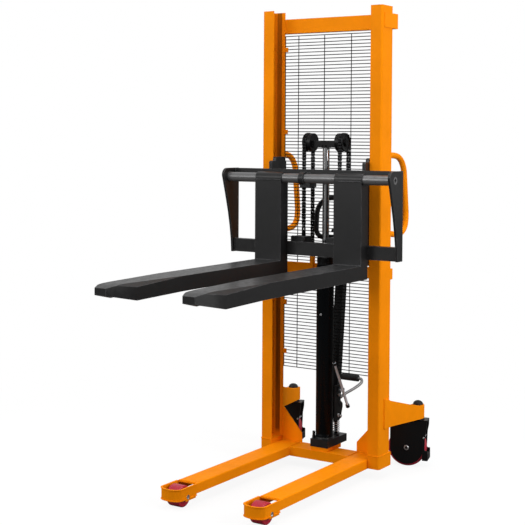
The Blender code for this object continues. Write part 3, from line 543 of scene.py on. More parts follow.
def hexagon(axis, centre, af, a, b, chamfer=0.0008, turn=0.0, bore=0.0):
    """Hexagon nut or bolt head, af across the flats, with its corners turned off."""
    r = af / math.sqrt(3)
    c = {"X": (1, 2), "Y": (0, 2), "Z": (0, 1)}[axis]
    cc = [centre[i] for i in c]
    poly = [(cc[0] + r * math.cos(turn + math.pi / 3 * i), cc[1] + r * math.sin(turn + math.pi / 3 * i))
            for i in range(6)]
    ai = {"X": 0, "Y": 1, "Z": 2}[axis]
    body = prism(poly, axis, centre[ai] + a, centre[ai] + b)
    lo, hi = min(a, b), max(a, b)
    e = 0.002
    turnr = af / 2 * 1.02
    prof = [(lo - e, 0), (lo - e, turnr - e), (lo + (r - turnr) * 0.55, r + 1e-4),
            (hi - (r - turnr) * 0.55, r + 1e-4), (hi + e, turnr - e), (hi + e, 0)]
    mask = lathe(prof, axis, centre, 48)
    ob = helper(body)
    t = helper(mask)
    m = ob.modifiers.new("m", "BOOLEAN")
    m.operation = "INTERSECT"
    m.solver = "EXACT"
    m.object = t
    dg = bpy.context.evaluated_depsgraph_get()
    mesh = bpy.data.meshes.new_from_object(ob.evaluated_get(dg))
    out = bmesh.new()
    out.from_mesh(mesh)
    bpy.data.objects.remove(ob, do_unlink=True)
    bpy.data.objects.remove(t, do_unlink=True)
    return out


def weld(path, r=0.0028, name=None, step=0.0028, seg=8, seed=1):
    """Rippled weld bead laid along a path of points."""
    pts = [Vector(p) for p in path]
    dense = []
    for a, b in zip(pts, pts[1:]):
        n = max(2, int((b - a).length / (step / 4)))
        for i in range(n):
            dense.append(a.lerp(b, i / n))
    dense.append(pts[-1])
    g = random.Random(seed)
    ph = g.random() * 6
    radii = []
    s = 0.0
    for i, p in enumerate(dense):
        if i:
            s += (p - dense[i - 1]).length
        ramp = min(1.0, (i + 1) / 6, (len(dense) - i) / 6)
        saw = (s / step) % 1.0
        radii.append(r * (0.86 + 0.16 * math.sqrt(saw) + 0.05 * math.sin(s * 130 + ph)) * (0.45 + 0.55 * ramp))
    return sweep(dense, r, seg, radii=radii)


BODY = {}
for b, members in frame["record"]["behaviour"]["bodies"].items():
    for m in members:
        BODY[m] = b


def shade(mesh, angle):
    mesh.shade_smooth()
    mesh.set_sharp_from_angle(angle=math.radians(angle))


def piece(name, bm, mat, body, replaces=(), bevel=0.0, seg=2, sharp=32.0, local=False, blend=None,
          bevel_angle=32.0, weighted=True):
    """Put a finished mesh into the scene on its body."""
    if not local:
        bmesh.ops.translate(bm, verts=bm.verts, vec=OFF)
    mesh = bpy.data.meshes.new(name)
    bm.to_mesh(mesh)
    bm.free()
    ob = bpy.data.objects.new(name, mesh)
    scene.collection.objects.link(ob)
    mesh.materials.append(mat)
    shade(mesh, sharp)
    if bevel:
        m = ob.modifiers.new("edges", "BEVEL")
        m.width = bevel
        m.segments = seg
        m.limit_method = "ANGLE"
        m.angle_limit = math.radians(bevel_angle)
        m.use_clamp_overlap = True
        m.miter_outer = "MITER_ARC" if seg > 1 else "MITER_SHARP"
        mesh.shade_smooth()
        if weighted:
            w = ob.modifiers.new("normals", "WEIGHTED_NORMAL")
            w.keep_sharp = False
            w.weight = 60
    if blend is None:
        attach(ob, body)
    else:
        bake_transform(ob)
    if replaces:
        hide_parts(*replaces)
    return ob


def dress(node, mat, bevel=0.0008, seg=2, angle=30.0):
    """A CAD solid shown as it is, with small edge radii and its finish."""
    ob = frame["nodes"][node]
    me = ob.data
    for a in ("custom_normal",):
        if a in me.attributes:
            me.attributes.remove(me.attributes[a])
    while len(me.materials):
        me.materials.pop()
    me.materials.append(mat)
    me.shade_smooth()
    w = ob.modifiers.new("weld", "WELD")
    w.merge_threshold = 2e-6
    d = ob.modifiers.new("flat", "DECIMATE")
    d.decimate_type = "DISSOLVE"
    d.angle_limit = math.radians(0.6)
    if bevel:
        b = ob.modifiers.new("edges", "BEVEL")
        b.width = bevel
        b.segments = seg
        b.limit_method = "ANGLE"
        b.angle_limit = math.radians(angle)
        b.use_clamp_overlap = True
    n = ob.modifiers.new("normals", "WEIGHTED_NORMAL")
    n.keep_sharp = False
    n.weight = 60
    return ob


SIDES = (("right", 1), ("left", -1))

# ================================================================ carried-over CAD
for side, s in SIDES:
    dress("mast_channel_" + side, MAST, 0.0007, 2)
    dress("leg_" + side, ORANGE, 0.0012, 3)
    dress("caster_bracket_" + side, ORANGE, 0.0012, 3)
    dress("roller_plate_" + side, GREY, 0.0010, 2)
    dress("carriage_side_plate_" + side, GREY, 0.0012, 3)
    dress("fork_" + side, GREY, 0.0018, 3)
for name in ("top_cross_beam", "middle_cross_beam"):
    dress(name, ORANGE, 0.0014, 3)
dress("base_cross_beam", ORANGE, 0.0012, 3)
for name in ("carriage_upper_beam", "carriage_lower_beam"):
    dress(name, GREY, 0.0012, 3)
dress("pump_block", CAST, 0.0025, 3)
dress("pump_bracket", BLACK, 0.0008, 2)
dress("pump_rocker", BLACK, 0.0012, 2)
dress("tiller", BLACK, 0.0012, 2)
dress("control_lever", RUBBER, 0.0012, 2)
dress("lowering_lever", LEVER, 0.0)
dress("foot_pedal", PEDAL, 0.0)
dress("crosshead", BLACK, 0.0012, 2)

# ================================================================== wire guard
GY, GZ0, GZ1, GSTEP = 0.1205, 0.4076, 1.8773, 0.01455
parts = []
n_rows = int(round((GZ1 - GZ0) / GSTEP))
for i in range(n_rows + 1):
    z = GZ0 + (GZ1 - GZ0) * i / n_rows
    x0 = -0.2515 - 0.0015 - rnd.random() * 0.0022
    x1 = 0.2515 + 0.0015 + rnd.random() * 0.0022
    a = (rnd.random() - 0.5) * 0.0012
    b = (rnd.random() - 0.5) * 0.0012
    pts = []
    for k in range(15):
        t = k / 14
        pts.append((x0 + (x1 - x0) * t, GY - 0.0012,
                    z + a * math.sin(math.pi * t) + b * math.sin(2 * math.pi * t)))
    parts.append(sweep(pts, 0.0019, 6))
for x in (-0.2515, -0.1830, -0.0515, 0.0820, 0.2130, 0.2515):
    parts.append(sweep([(x, GY + 0.0004, GZ0 - 0.0020), (x, GY + 0.0004, (GZ0 + GZ1) / 2),
                        (x, GY + 0.0004, GZ1 + 0.0020)], 0.0019, 8))
piece("guard_wires", joined(parts), WIRE, "chassis", replaces=["wire_guard"], sharp=60)

# ==================================================================== cylinder
CY, CR = 0.0520, 0.0375
piece("cylinder_barrel",
      lathe([(0.1313, 0), (0.1313, CR - 0.001), (0.1323, CR), (0.1500, CR), (0.1510, CR - 0.0006),
             (0.1530, CR - 0.0006), (0.1540, CR), (0.8700, CR), (0.8708, CR - 0.0012),
             (0.8730, CR - 0.0012), (0.8738, CR), (0.8840, CR), (0.8850, CR - 0.001),
             (0.8850, 0.0300), (0.1380, 0.0300), (0.1380, 0)], "Z", (0, CY, 0), 96),
      TUBE, "chassis", replaces=["cylinder_tube"])
gl = lathe([(0.8853, 0.0153), (0.8853, 0.0355), (0.8863, 0.0365), (0.8905, 0.0365), (0.8915, 0.0350),
            (0.8935, 0.0350), (0.8945, 0.0365), (0.9140, 0.0365), (0.9150, 0.0355), (0.9175, 0.0330),
            (0.9185, 0.0240), (0.9203, 0.0225), (0.9203, 0.0158), (0.9190, 0.0153)],
           "Z", (0, CY, 0), 96, closed=True)
slots = [turned(block(-0.0030, 0.0030, 0.0335, 0.0450, 0.9050, 0.9160),
                Matrix.Translation((0, CY, 0)) @ Matrix.Rotation(math.radians(45 + 90 * k), 4, "Z"))
         for k in range(4)]
piece("gland_nut", combine(gl, cut=slots), BLACK, "chassis", replaces=["cylinder_gland"], bevel=0.0005)
piece("piston_rod_chrome",
      lathe([(0.5200, 0), (0.5200, 0.0285), (0.5210, 0.0295), (0.5590, 0.0295), (0.5600, 0.0285),
             (0.5600, 0.0150), (1.3857, 0.0150), (1.3857, 0)], "Z", (0, CY, 0), 96),
      CHROME, "ram", replaces=["piston_rod"])
piece("bleed_screw_head",
      joined([hexagon("Y", (0.0030, CY - CR - 0.0005, 0.6710), 0.0090, -0.0045, 0.0),
              rod("Y", (0.0030, CY - CR - 0.0005, 0.6710), 0.0022, -0.0052, -0.0040, 20)]),
      STEEL, "chassis", replaces=["bleed_screw"])

# ============================================================ sheaves and chains
SX, SZ, CHR = 0.0880, 1.4090, 0.0370
for side, s in SIDES:
    prof = [(-0.0105, 0.0104), (-0.0105, 0.0170), (-0.0092, 0.0180), (-0.0082, 0.0190), (-0.0082, 0.0270),
            (-0.0100, 0.0290), (-0.0105, 0.0300), (-0.0105, 0.0395), (-0.0100, 0.0400), (-0.0088, 0.0400),
            (-0.0083, 0.0395), (-0.0081, 0.0323), (-0.0076, 0.0320),
            (0.0076, 0.0320), (0.0081, 0.0323), (0.0083, 0.0395), (0.0088, 0.0400), (0.0100, 0.0400),
            (0.0105, 0.0395), (0.0105, 0.0300), (0.0100, 0.0290), (0.0082, 0.0270), (0.0082, 0.0190),
            (0.0092, 0.0180), (0.0105, 0.0170), (0.0105, 0.0104)]
    piece("sheave_" + side, lathe(prof, "X", (s * SX, CY, SZ), 72, closed=True), CHAIN,
          "sheave_" + side, replaces=["chain_sheave_" + side])


def chain_points():
    """Centre line from the rear anchor up over the sheave and down to the carriage: (y, z, angle)."""
    pitch = 0.0127
    rear, front = 0.9153 + 0.0050, 1.0393 + 0.0040
    straight1 = SZ - rear
    bend = math.pi * CHR
    straight2 = SZ - front
    total = straight1 + bend + straight2
    n = int(round(total / pitch))
    pts = []
    for i in range(n + 1):
        d = total * i / n
        if d < straight1:
            pts.append((CY + CHR, rear + d, "rear"))
        elif d < straight1 + bend:
            a = (d - straight1) / CHR
            pts.append((CY + CHR * math.cos(a), SZ + CHR * math.sin(a), "wrap"))
        else:
            pts.append((CY - CHR, SZ - (d - straight1 - bend), "front"))
    return pts


def link_plate(p, q, x, t, r):
    """Figure-eight plate between two pins in the YZ plane."""
    py, pz, qy, qz = p[0], p[1], q[0], q[1]
    a = math.degrees(math.atan2(qz - pz, qy - py))
    L = math.hypot(qy - py, qz - pz)
    w = r * 0.62
    pts = arc(0, 0, r, 40, 320, 9) + [(L / 2, -w)] + arc(L, 0, r, -140, 140, 9) + [(L / 2, w)]
    c, sn = math.cos(math.radians(a)), math.sin(math.radians(a))
    pts = [(py + u * c - v * sn, pz + u * sn + v * c) for u, v in pts]
    return prism(pts, "X", x - t / 2, x + t / 2)


CP = chain_points()
for side, s in SIDES:
    groups = {"rear": [], "wrap": [], "front": []}
    xc = s * SX
    for i, (p, q) in enumerate(zip(CP, CP[1:])):
        kind = p[2] if p[2] == q[2] else "wrap"
        xs = (-0.0056, 0.0, 0.0056) if i % 2 else (-0.0075, -0.0028, 0.0028, 0.0075)
        th = 0.0025 if i % 2 else 0.0018
        for x in xs:
            tt = 0.0017 if not i % 2 else 0.0019
            groups[kind].append(link_plate(p, q, xc + x, tt, 0.0045))
    for p in CP:
        groups[p[2]].append(rod("X", (xc, p[0], p[1]), 0.0021, -0.0092, 0.0092, 12, 0.0003))
    piece("chain_rear_" + side, joined(groups["rear"]), CHAIN, None, sharp=40,
          blend=("chassis", "ram", tuple(at(xc, CY + CHR, 0.9153)), tuple(at(xc, CY + CHR, SZ))))
    top = piece("chain_wrap_" + side, joined(groups["wrap"]), CHAIN, "ram", sharp=40)
    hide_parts("lift_chain_" + side)
    piece("chain_front_" + side, joined(groups["front"]), CHAIN, None, sharp=40,
          blend=("carriage", "ram", tuple(at(xc, CY - CHR, 1.0393)), tuple(at(xc, CY - CHR, SZ))))

# ================================================================ pump spring
coil = []
turns, per = 6.0, 28
for i in range(int(turns * per) + 1):
    a = 2 * math.pi * i / per
    t = i / (turns * per)
    lift = t + 0.0 * math.sin(a)
    coil.append((0.0142 * math.cos(a), 0.1550 + 0.0142 * math.sin(a), 0.1338 + (0.1918 - 0.1338) * lift))
sp = piece("return_spring", sweep(coil, 0.0020, 12), STEEL, None, sharp=50,
           blend=("chassis", "plunger", tuple(at(0, 0.155, 0.1318)), tuple(at(0, 0.155, 0.1940))))
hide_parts("pump_spring")
piece("plunger_rod",
      lathe([(0.1280, 0), (0.1280, 0.0080), (0.1940, 0.0080), (0.1945, 0.0085), (0.1945, 0.0170),
             (0.1950, 0.0175), (0.1965, 0.0175), (0.1970, 0.0170), (0.1970, 0)], "Z", (0, 0.1550, 0), 64),
      CHAIN, "plunger", replaces=["pump_plunger"])

# ===================================================================== casters
STX, STY, TR, WR = 0.3195, 0.3150, 0.0440, 0.0825
SWV = math.radians(-74.0)
PY, PZ = 0.0310, 0.1300


def caster_wheel():
    w = 0.0250
    tread = [(-w + 0.0004, 0.0605), (-w, 0.0620), (-w, WR - 0.0080)]
    tread += [(-w + 0.0080 - 0.0080 * math.cos(math.radians(a)), WR - 0.0080 + 0.0080 * math.sin(math.radians(a)))
              for a in range(10, 91, 10)]
    tread += [(w - 0.0080 + 0.0080 * math.sin(math.radians(a)), WR - 0.0080 + 0.0080 * math.cos(math.radians(a)))
              for a in range(0, 81, 10)]
    tread += [(w, WR - 0.0080), (w, 0.0620), (w - 0.0004, 0.0605)]
    return lathe(tread, "X", (0, -TR, WR), 120, closed=True)


def caster_hub():
    w = 0.0250
    prof = [(-0.0278, 0.0064), (-0.0278, 0.0150), (-0.0268, 0.0165), (-0.0215, 0.0185), (-0.0120, 0.0210),
            (-0.0100, 0.0240), (-0.0100, 0.0480), (-0.0130, 0.0540), (-0.0225, 0.0560), (-0.0232, 0.0570),
            (-0.0232, 0.0603), (0.0232, 0.0603), (0.0232, 0.0570), (0.0225, 0.0560), (0.0130, 0.0540),
            (0.0100, 0.0480), (0.0100, 0.0240), (0.0120, 0.0210), (0.0215, 0.0185), (0.0268, 0.0165),
            (0.0278, 0.0150), (0.0278, 0.0064)]
    return lathe(prof, "X", (0, -TR, WR), 96, closed=True)


def caster_yoke():
    side = [(0.0450, 0.2050), (0.0440, 0.1770), (0.0390, 0.1500), (0.0375, 0.1300),
            (0.0360, 0.1200), (0.0310, 0.1060), (0.0300, 0.0870)]
    side += arc(-TR, WR, 0.0725, -5, -180, 40)
    side += [(-TR - 0.0725, 0.1830), (-0.0950, 0.2050)]
    r = [0.0, 0.010, 0.012, 0.010, 0.008, 0.006, 0.010] + [0.0] * 41 + [0.012, 0.0]
    side = rounded(side, r, 5)
    left = prism(side, "X", -0.0325, -0.0285)
    right = prism(side, "X", 0.0285, 0.0325)
    top = prism(rounded([(-0.0325, -0.0950), (0.0325, -0.0950), (0.0325, 0.0450), (-0.0325, 0.0450)],
                        0.004, 4), "Z", 0.1998, 0.2050)
    race = lathe([(0.2010, 0), (0.2010, 0.0290), (0.2050, 0.0300), (0.2060, 0.0296), (0.2064, 0.0290),
                  (0.2068, 0.0290), (0.2072, 0.0297), (0.2080, 0.0297), (0.2085, 0.0290), (0.2085, 0)],
                 "Z", (0, 0, 0), 72)
    stem = rod("Z", (0, 0, 0), 0.0120, 0.2050, 0.2500, 40)
    hub = rod("X", (0, -TR, WR), 0.0063, -0.06, 0.06, 32)
    pin = rod("X", (0, PY, PZ), 0.0043, -0.06, 0.06, 24)
    return combine(top, [left, right, race, stem], [hub, pin])


def caster_axle():
    parts = [rod("X", (0, -TR, WR), 0.0060, -0.0329, 0.0329, 32)]
    for g in (-1, 1):
        a, b, c, d = (g * v for v in (0.0329, 0.0342, 0.0384, 0.0352))
        parts.append(lathe([(a, 0), (a, 0.0112), (b, 0.0112), (b, 0)], "X", (0, -TR, WR), 48))
        parts.append(lathe([(b, 0), (b, 0.0094), (c - g * 0.0007, 0.0094), (c, 0.0087), (c, 0.0066),
                            (d, 0.0062), (d, 0)], "X", (0, -TR, WR), 48))
    return joined(parts)


def brake_pedal():
    arm = rounded([(0.0240, 0.1320), (0.0280, 0.1370), (0.0345, 0.1370), (0.0375, 0.1320),
                   (0.0360, 0.1000), (0.0350, 0.0740), (0.0490, 0.0740), (0.0495, 0.0300),
                   (0.0250, 0.0300), (0.0250, 0.0640), (0.0240, 0.0900)],
                  [0.004, 0.004, 0.004, 0.004, 0.008, 0.006, 0.003, 0.002, 0.002, 0.008, 0.010], 5)
    left = prism(arm, "X", -0.0360, -0.0330)
    right = prism(arm, "X", 0.0330, 0.0360)
    pad = block(-0.0355, 0.0355, 0.0440, 0.0490, 0.0305, 0.0620)
    ribs = [block(-0.0300, 0.0300, 0.0480, 0.0502, z, z + 0.0026) for z in (0.0350, 0.0430, 0.0510)]
    return combine(pad, [left, right] + ribs)


for side, s in SIDES:
    place = Matrix.Translation((s * STX, STY, 0)) @ Matrix.Rotation(SWV, 4, "Z")
    piece("wheel_tread_" + side, turned(caster_wheel(), place), RED, "wheel_" + side,
          replaces=["caster_wheel_" + side], sharp=50)
    hubm = turned(caster_hub(), place)
    piece("wheel_core_" + side, hubm, BLACK, "wheel_" + side)
    piece("yoke_" + side, turned(caster_yoke(), place), BLACK, "caster_" + side,
          replaces=["caster_yoke_" + side], bevel=0.0009, seg=2)
    piece("axle_" + side, turned(caster_axle(), place), STEEL, "caster_" + side,
          replaces=["caster_axle_" + side])
    # painted shade: thin dark discs on the axle ends give the silver ring its dark centre
    piece("axle_end_shade_disc_" + side,
          turned(joined([rod("X", (0, -TR, WR), 0.0060, a, b, 24) for a, b in
                         ((-0.0356, -0.0350), (0.0350, 0.0356))]), place), RUBBER, "caster_" + side)
    piece("brake_pedal_" + side, turned(brake_pedal(), place), BLACK, "brake_" + side,
          replaces=["caster_brake_pedal_" + side], bevel=0.0009, seg=2)
    piece("brake_pin_" + side, turned(rod("X", (0, PY, PZ), 0.0040, -0.0372, 0.0372, 28, 0.0006), place),
          STEEL, "brake_" + side)
    piece("dome_cap_" + side,
          lathe([(0.2683, 0), (0.2683, 0.0210), (0.2690, 0.0217), (0.2715, 0.0217), (0.2745, 0.0208),
                 (0.2780, 0.0188), (0.2810, 0.0158), (0.2835, 0.0118), (0.2852, 0.0070), (0.2860, 0)],
                "Z", (s * STX, STY, 0), 64),
          RUBBER, "chassis", replaces=["caster_cap_" + side])

# ================================================================ load rollers
LXC, LY, LR = 0.19175, -0.7400, 0.0420
for side, s in SIDES:
    w = 0.0290
    prof = [(-w, 0.0180), (-w, 0.0340)]
    prof += [(-w + 0.0060 - 0.0060 * math.cos(math.radians(a)), LR - 0.0060 + 0.0060 * math.sin(math.radians(a)))
             for a in range(0, 91, 10)]
    prof += [(w - 0.0060 + 0.0060 * math.sin(math.radians(a)), LR - 0.0060 + 0.0060 * math.cos(math.radians(a)))
             for a in range(0, 91, 10)]
    prof += [(w, 0.0340), (w, 0.0180)]
    piece("roller_tread_" + side, lathe(prof, "X", (s * LXC, LY, LR), 96, closed=True), RED,
          "front_roller_" + side, replaces=["load_roller_" + side], sharp=50)
    core = [(-w - 0.0006, 0.0100), (-w - 0.0006, 0.0170), (-w + 0.0006, 0.0179), (w - 0.0006, 0.0179),
            (w + 0.0006, 0.0170), (w + 0.0006, 0.0100)]
    piece("roller_core_" + side, lathe(core, "X", (s * LXC, LY, LR), 64, closed=True), STEEL,
          "front_roller_" + side)
    piece("roller_axle_" + side, lathe([(-0.0440, 0), (-0.0446, 0.0052), (-0.0468, 0.0062), (-0.0468, 0.0090), (-0.0461, 0.0097),
                 (0.0461, 0.0097), (0.0468, 0.0090), (0.0468, 0.0062), (0.0446, 0.0052), (0.0440, 0)],
                "X", (s * LXC, LY, LR), 48),
          STEEL, "chassis", replaces=["load_axle_" + side])

# ===================================================================== handles
GRIP = [(0.0990, 1.3560), (0.1400, 1.3560), (0.1790, 1.3518), (0.2035, 1.3425),
        (0.2230, 1.3285), (0.2362, 1.3115), (0.2450, 1.2925), (0.2506, 1.2600),
        (0.2588, 1.1900), (0.2672, 1.1220), (0.2682, 1.0850), (0.2610, 1.0540),
        (0.2424, 1.0330), (0.2180, 1.0222), (0.1850, 1.0185), (0.1465, 1.0208),
        (0.1131, 1.0250), (0.0990, 1.0255)]
for side, s in SIDES:
    path = smooth_path([(s * 0.2745, y, z) for y, z in GRIP], 5)
    body = [sweep(path, 0.0128, 32)]
    for z in (1.3560, 1.0255):
        ring = [(s * 0.2745 + 0.0140 * math.cos(a), 0.1000, z + 0.0140 * math.sin(a))
                for a in [2 * math.pi * k / 60 for k in range(60)]]
        body.append(sweep(ring, 0.0022, 8, ring=True,
                          radii=[0.0022 * (1 + 0.14 * math.sin(k * 2.1)) for k in range(60)]))
    piece("push_handle_" + side, joined(body), ORANGE, "chassis", replaces=["handle_" + side], sharp=60)

# ===================================================================== rollers
for side, s in SIDES:
    for label, z in (("lower", 0.9450), ("upper", 1.2950)):
        x0, x1, r = 0.2400, 0.2830, 0.0428
        prof = [(x0, 0.0103), (x0, 0.0200), (x0 + 0.0010, 0.0205), (x0 + 0.0010, 0.0300), (x0, 0.0305),
                (x0, r - 0.002), (x0 + 0.0006, r - 0.0006), (x0 + 0.002, r), (x1 - 0.002, r),
                (x1 - 0.0006, r - 0.0006), (x1, r - 0.002), (x1, 0.0305), (x1 - 0.0010, 0.0300),
                (x1 - 0.0010, 0.0205), (x1, 0.0200), (x1, 0.0103)]
        piece("guide_roller_%s_%s" % (label, side),
              sided(lathe(prof, "X", (0, 0.0488, z), 72, closed=True), s), CHAIN,
              "roller_%s_%s" % (label, side), replaces=["mast_roller_%s_%s" % (label, side)])

# ==================================================================== fork bar
IN_X = 0.4085 - 0.0110 - 0.0003
bar = lathe([(-IN_X, 0.0115), (-IN_X, 0.0195), (-IN_X + 0.001, 0.0205), (IN_X - 0.001, 0.0205),
             (IN_X, 0.0195), (IN_X, 0.0115)], "X", (0, -0.0980, 1.2570), 96, closed=True)
piece("round_bar", bar, BAR, "carriage", replaces=["fork_bar"])

# rims round the holes at both ends of the bar; a dark disc set inside each hole is painted shade
for side, s in SIDES:
    rim = [lathe([(s * 0.4040, 0.0080), (s * 0.4040, 0.0119), (s * 0.4083, 0.0119), (s * 0.4083, 0.0150),
                  (s * 0.4086, 0.0154), (s * 0.4088, 0.0150), (s * 0.4088, 0.0112), (s * 0.4080, 0.0080)],
                 "X", (0, -0.0980, 1.2570), 64, closed=True)]
    piece("bar_end_" + side, joined(rim), BAR, "carriage", sharp=50)
    piece("bar_hole_shade_disc_" + side, lathe([(s * 0.3990, 0), (s * 0.3990, 0.0086), (s * 0.4020, 0.0086), (s * 0.4020, 0)],
                                    "X", (0, -0.0980, 1.2570), 40), RUBBER, "carriage")

# ================================================================= chain studs
for side, s in SIDES:
    x, y = s * SX, CY - CHR
    body = [rod("Z", (x, y, 0), 0.0060, 0.9510, 1.0170, 32, 0.0006),
            hexagon("Z", (x, y, 0), 0.0180, 0.9600, 0.9717),
            hexagon("Z", (x, y, 0), 0.0180, 1.0063, 1.0170)]
    thread = []
    for k in range(int(9 * 20)):
        a = 2 * math.pi * k / 20
        thread.append((x + 0.0060 * math.cos(a), y + 0.0060 * math.sin(a), 0.9518 + 0.0009 * k / 20))
    body.append(sweep(thread, 0.00055, 5))
    clev = combine(rod("Z", (x, y, 0), 0.0085, 1.0165, 1.0450, 32, 0.001),
                   cut=[block(x - 0.0050, x + 0.0050, y - 0.02, y + 0.02, 1.0300, 1.07)])
    body.append(clev)
    piece("chain_anchor_" + side, joined(body), CHAIN, "carriage", replaces=["chain_stud_" + side])

# ============================================================== pedal rubber grip
ribs = []
prof = [(-0.0440, 0), (-0.0440, 0.0115), (-0.0430, 0.0132), (-0.0415, 0.0141)]
for k in range(20):
    u = -0.0395 + 0.0039 * k
    prof += [(u, 0.0145), (u + 0.0018, 0.0145), (u + 0.0022, 0.0137), (u + 0.0035, 0.0137)]
prof += [(0.0405, 0.0145), (0.0415, 0.0139), (0.0420, 0.0125), (0.0420, 0.0080), (-0.0400, 0.0080), (-0.0400, 0)]
piece("foot_grip", lathe(prof, "X", (0, 0.2815, 0.3555), 48), RUBBER, "pump_lever",
      replaces=["pedal_grip"], sharp=40)

# ================================================================ weld beads
def beads(name, runs, mat, body, r=0.0026):
    piece(name, joined([weld(p, r, seed=i + 3) for i, p in enumerate(runs)]), mat, body, sharp=60)


MX, MD = 0.2928, 0.0976
runs = []
for s in (-1, 1):
    runs += [[(s * 0.2384, 0.0978, 1.8890), (s * 0.2384, 0.0978, 1.9495)],
             [(s * 0.2384, 0.0978, 0.8330), (s * 0.2384, 0.0978, 0.8770)],
             [(s * 0.2930, 0.0172, 1.8890), (s * 0.2930, 0.0172, 1.9495)],
             [(s * 0.2384, 0.0926, 0.0850), (s * 0.2384, 0.0926, 0.2330)],
             [(s * 0.1460, 0.0926, 0.0826), (s * 0.2370, 0.0926, 0.0826)],
             [(s * 0.1454, 0.0020, 0.0820), (s * 0.1454, 0.0900, 0.0820)],
             [(s * 0.1452, -0.0004, 0.0450), (s * 0.1452, -0.0004, 0.0800)],
             [(s * 0.2384, 0.0040, 0.0824), (s * 0.2384, 0.0900, 0.0824)],
             [(s * 0.2390, 0.0035, 0.0460), (s * 0.2390, 0.0035, 0.0800)],
             [(s * 0.2934, 0.0406, 0.2120), (s * 0.2934, 0.0406, 0.3350)],
             [(s * 0.2950, 0.0420, 0.3352), (s * 0.2940, 0.0960, 0.3202)],
             [(s * 0.2950, 0.0440, 0.2100), (s * 0.2950, 0.0980, 0.2100)]]
    rim = [(0.2400, -0.0006)] + arc(MX - 0.008, 0.008, 0.0086, -90, 0, 6) \
        + arc(MX - 0.008, MD - 0.008, 0.0086, 0, 90, 6) + [(0.2400, MD + 0.0006)]
    runs.append([(s * x, y, 0.1004) for x, y in rim])
    tip = [(0.1500, -0.6800), (0.2335, -0.6800)]
    runs.append([(s * x, y, 0.0826) for x, y in tip])
beads("frame_welds", runs, ORANGE, "chassis")

runs = []
for s in (-1, 1):
    runs += [[(s * 0.3968, -0.0644, 0.9300), (s * 0.3968, -0.0644, 0.9840)],
             [(s * 0.3968, -0.0600, 0.9854), (s * 0.3968, -0.0370, 0.9854)],
             [(s * 0.3968, -0.0564, 1.2460), (s * 0.3968, -0.0564, 1.2930)],
             [(s * 0.2215, -0.0340, 1.2470), (s * 0.2215, -0.0340, 1.2920)],
             [(s * 0.2215, -0.0340, 0.9300), (s * 0.2215, -0.0340, 0.9830)],
             [(s * 0.2370, -0.0340, 1.2470), (s * 0.2370, -0.0340, 1.2920)],
             [(s * 0.2370, -0.0340, 0.9300), (s * 0.2370, -0.0340, 0.9830)],
             [(s * 0.0575, -0.0340, 1.0066), (s * 0.1185, -0.0340, 1.0066)],
             [(s * 0.0558, -0.0340, 0.9870), (s * 0.0558, -0.0340, 1.0050)],
             [(s * 0.1202, -0.0340, 0.9870), (s * 0.1202, -0.0340, 1.0050)]]
    ring = [(s * 0.3970, -0.0980 + 0.0212 * math.cos(a), 1.2570 + 0.0212 * math.sin(a))
            for a in [2 * math.pi * k / 48 for k in range(49)]]
    runs.append(ring)
runs += [[(-0.0340, -0.0566, 1.2462), (0.0110, -0.0566, 1.2462)],
         [(-0.0358, -0.0560, 1.2250), (-0.0358, -0.0980, 1.2250)]]
beads("carriage_welds", runs, GREY, "carriage", 0.0024)

FW = 0.0650
for side, xc in (("right", 0.2025), ("left", -0.1845)):
    runs = [[(xc - FW + 0.003, -0.1238, 0.9066), (xc + FW - 0.003, -0.1238, 0.9066)],
            [(xc - FW + 0.004, -0.1232, 1.2500), (xc + FW - 0.004, -0.1232, 1.2500)]]
    beads("fork_welds_" + side, runs, GREY, "fork_body_" + side, 0.0028)

# rubber ends of the lowering lever
low_end, top_end = Vector((0.055, 0.1600, 0.2560)), Vector((0.055, 0.0400, 0.4610))
along = (low_end - top_end).normalized()
caps = [sweep([tuple(low_end - along * 0.0088), tuple(low_end - along * 0.0060), tuple(low_end + along * 0.0045),
               tuple(low_end + along * 0.0064)], 0.009, 24, radii=[0.0080, 0.0089, 0.0089, 0.0070]),
        sweep([tuple(top_end - along * 0.0064), tuple(top_end - along * 0.0045), tuple(top_end + along * 0.0066),
               tuple(top_end + along * 0.0084)], 0.009, 24, radii=[0.0066, 0.0084, 0.0084, 0.0076])]
piece("lever_tips", joined(caps), RUBBER, "lowering_rod", sharp=50)

# heads of the pump linkage pins, the relief screws and the plug beside the cylinder
small = [rod("X", (0, 0.1550, 0.2086), 0.0064, 0.0225, 0.0262, 32, 0.0008),
         rod("X", (0, 0.1550, 0.2086), 0.0064, -0.0262, -0.0225, 32, 0.0008)]
piece("link_pin_heads", joined(small), STEEL, "pump_lever")
small = [hexagon("X", (0, 0.1120, 0.3120), 0.0130, 0.0365, 0.0415),
         hexagon("X", (0, 0.1120, 0.3120), 0.0130, -0.0415, -0.0365),
         rod("X", (0, 0.1100, 0.2220), 0.0085, 0.0365, 0.0388, 32, 0.0006),
         rod("X", (0, 0.1100, 0.2220), 0.0085, -0.0388, -0.0365, 32, 0.0006)]
piece("bracket_bolts", joined(small), STEEL, "chassis")
small = [hexagon("Z", (-0.0370, 0.0262, 0), 0.0125, 0.1500, 0.1604),
         hexagon("Z", (0.0300, 0.1180, 0), 0.0120, 0.1310, 0.1365),
         hexagon("Z", (-0.0300, 0.1180, 0), 0.0120, 0.1310, 0.1365),
         rod("Z", (-0.0310, 0.1560, 0), 0.0060, 0.1310, 0.1345, 32, 0.0008)]
piece("pump_screws", joined(small), CAST, "chassis")
cuff = [lathe([(0.1312, 0.0376), (0.1312, 0.0412), (0.1345, 0.0404), (0.1372, 0.0388), (0.1385, 0.0376)],
              "Z", (0, CY, 0), 72, closed=True)]
piece("cylinder_cuff", joined(cuff), CAST, "chassis")

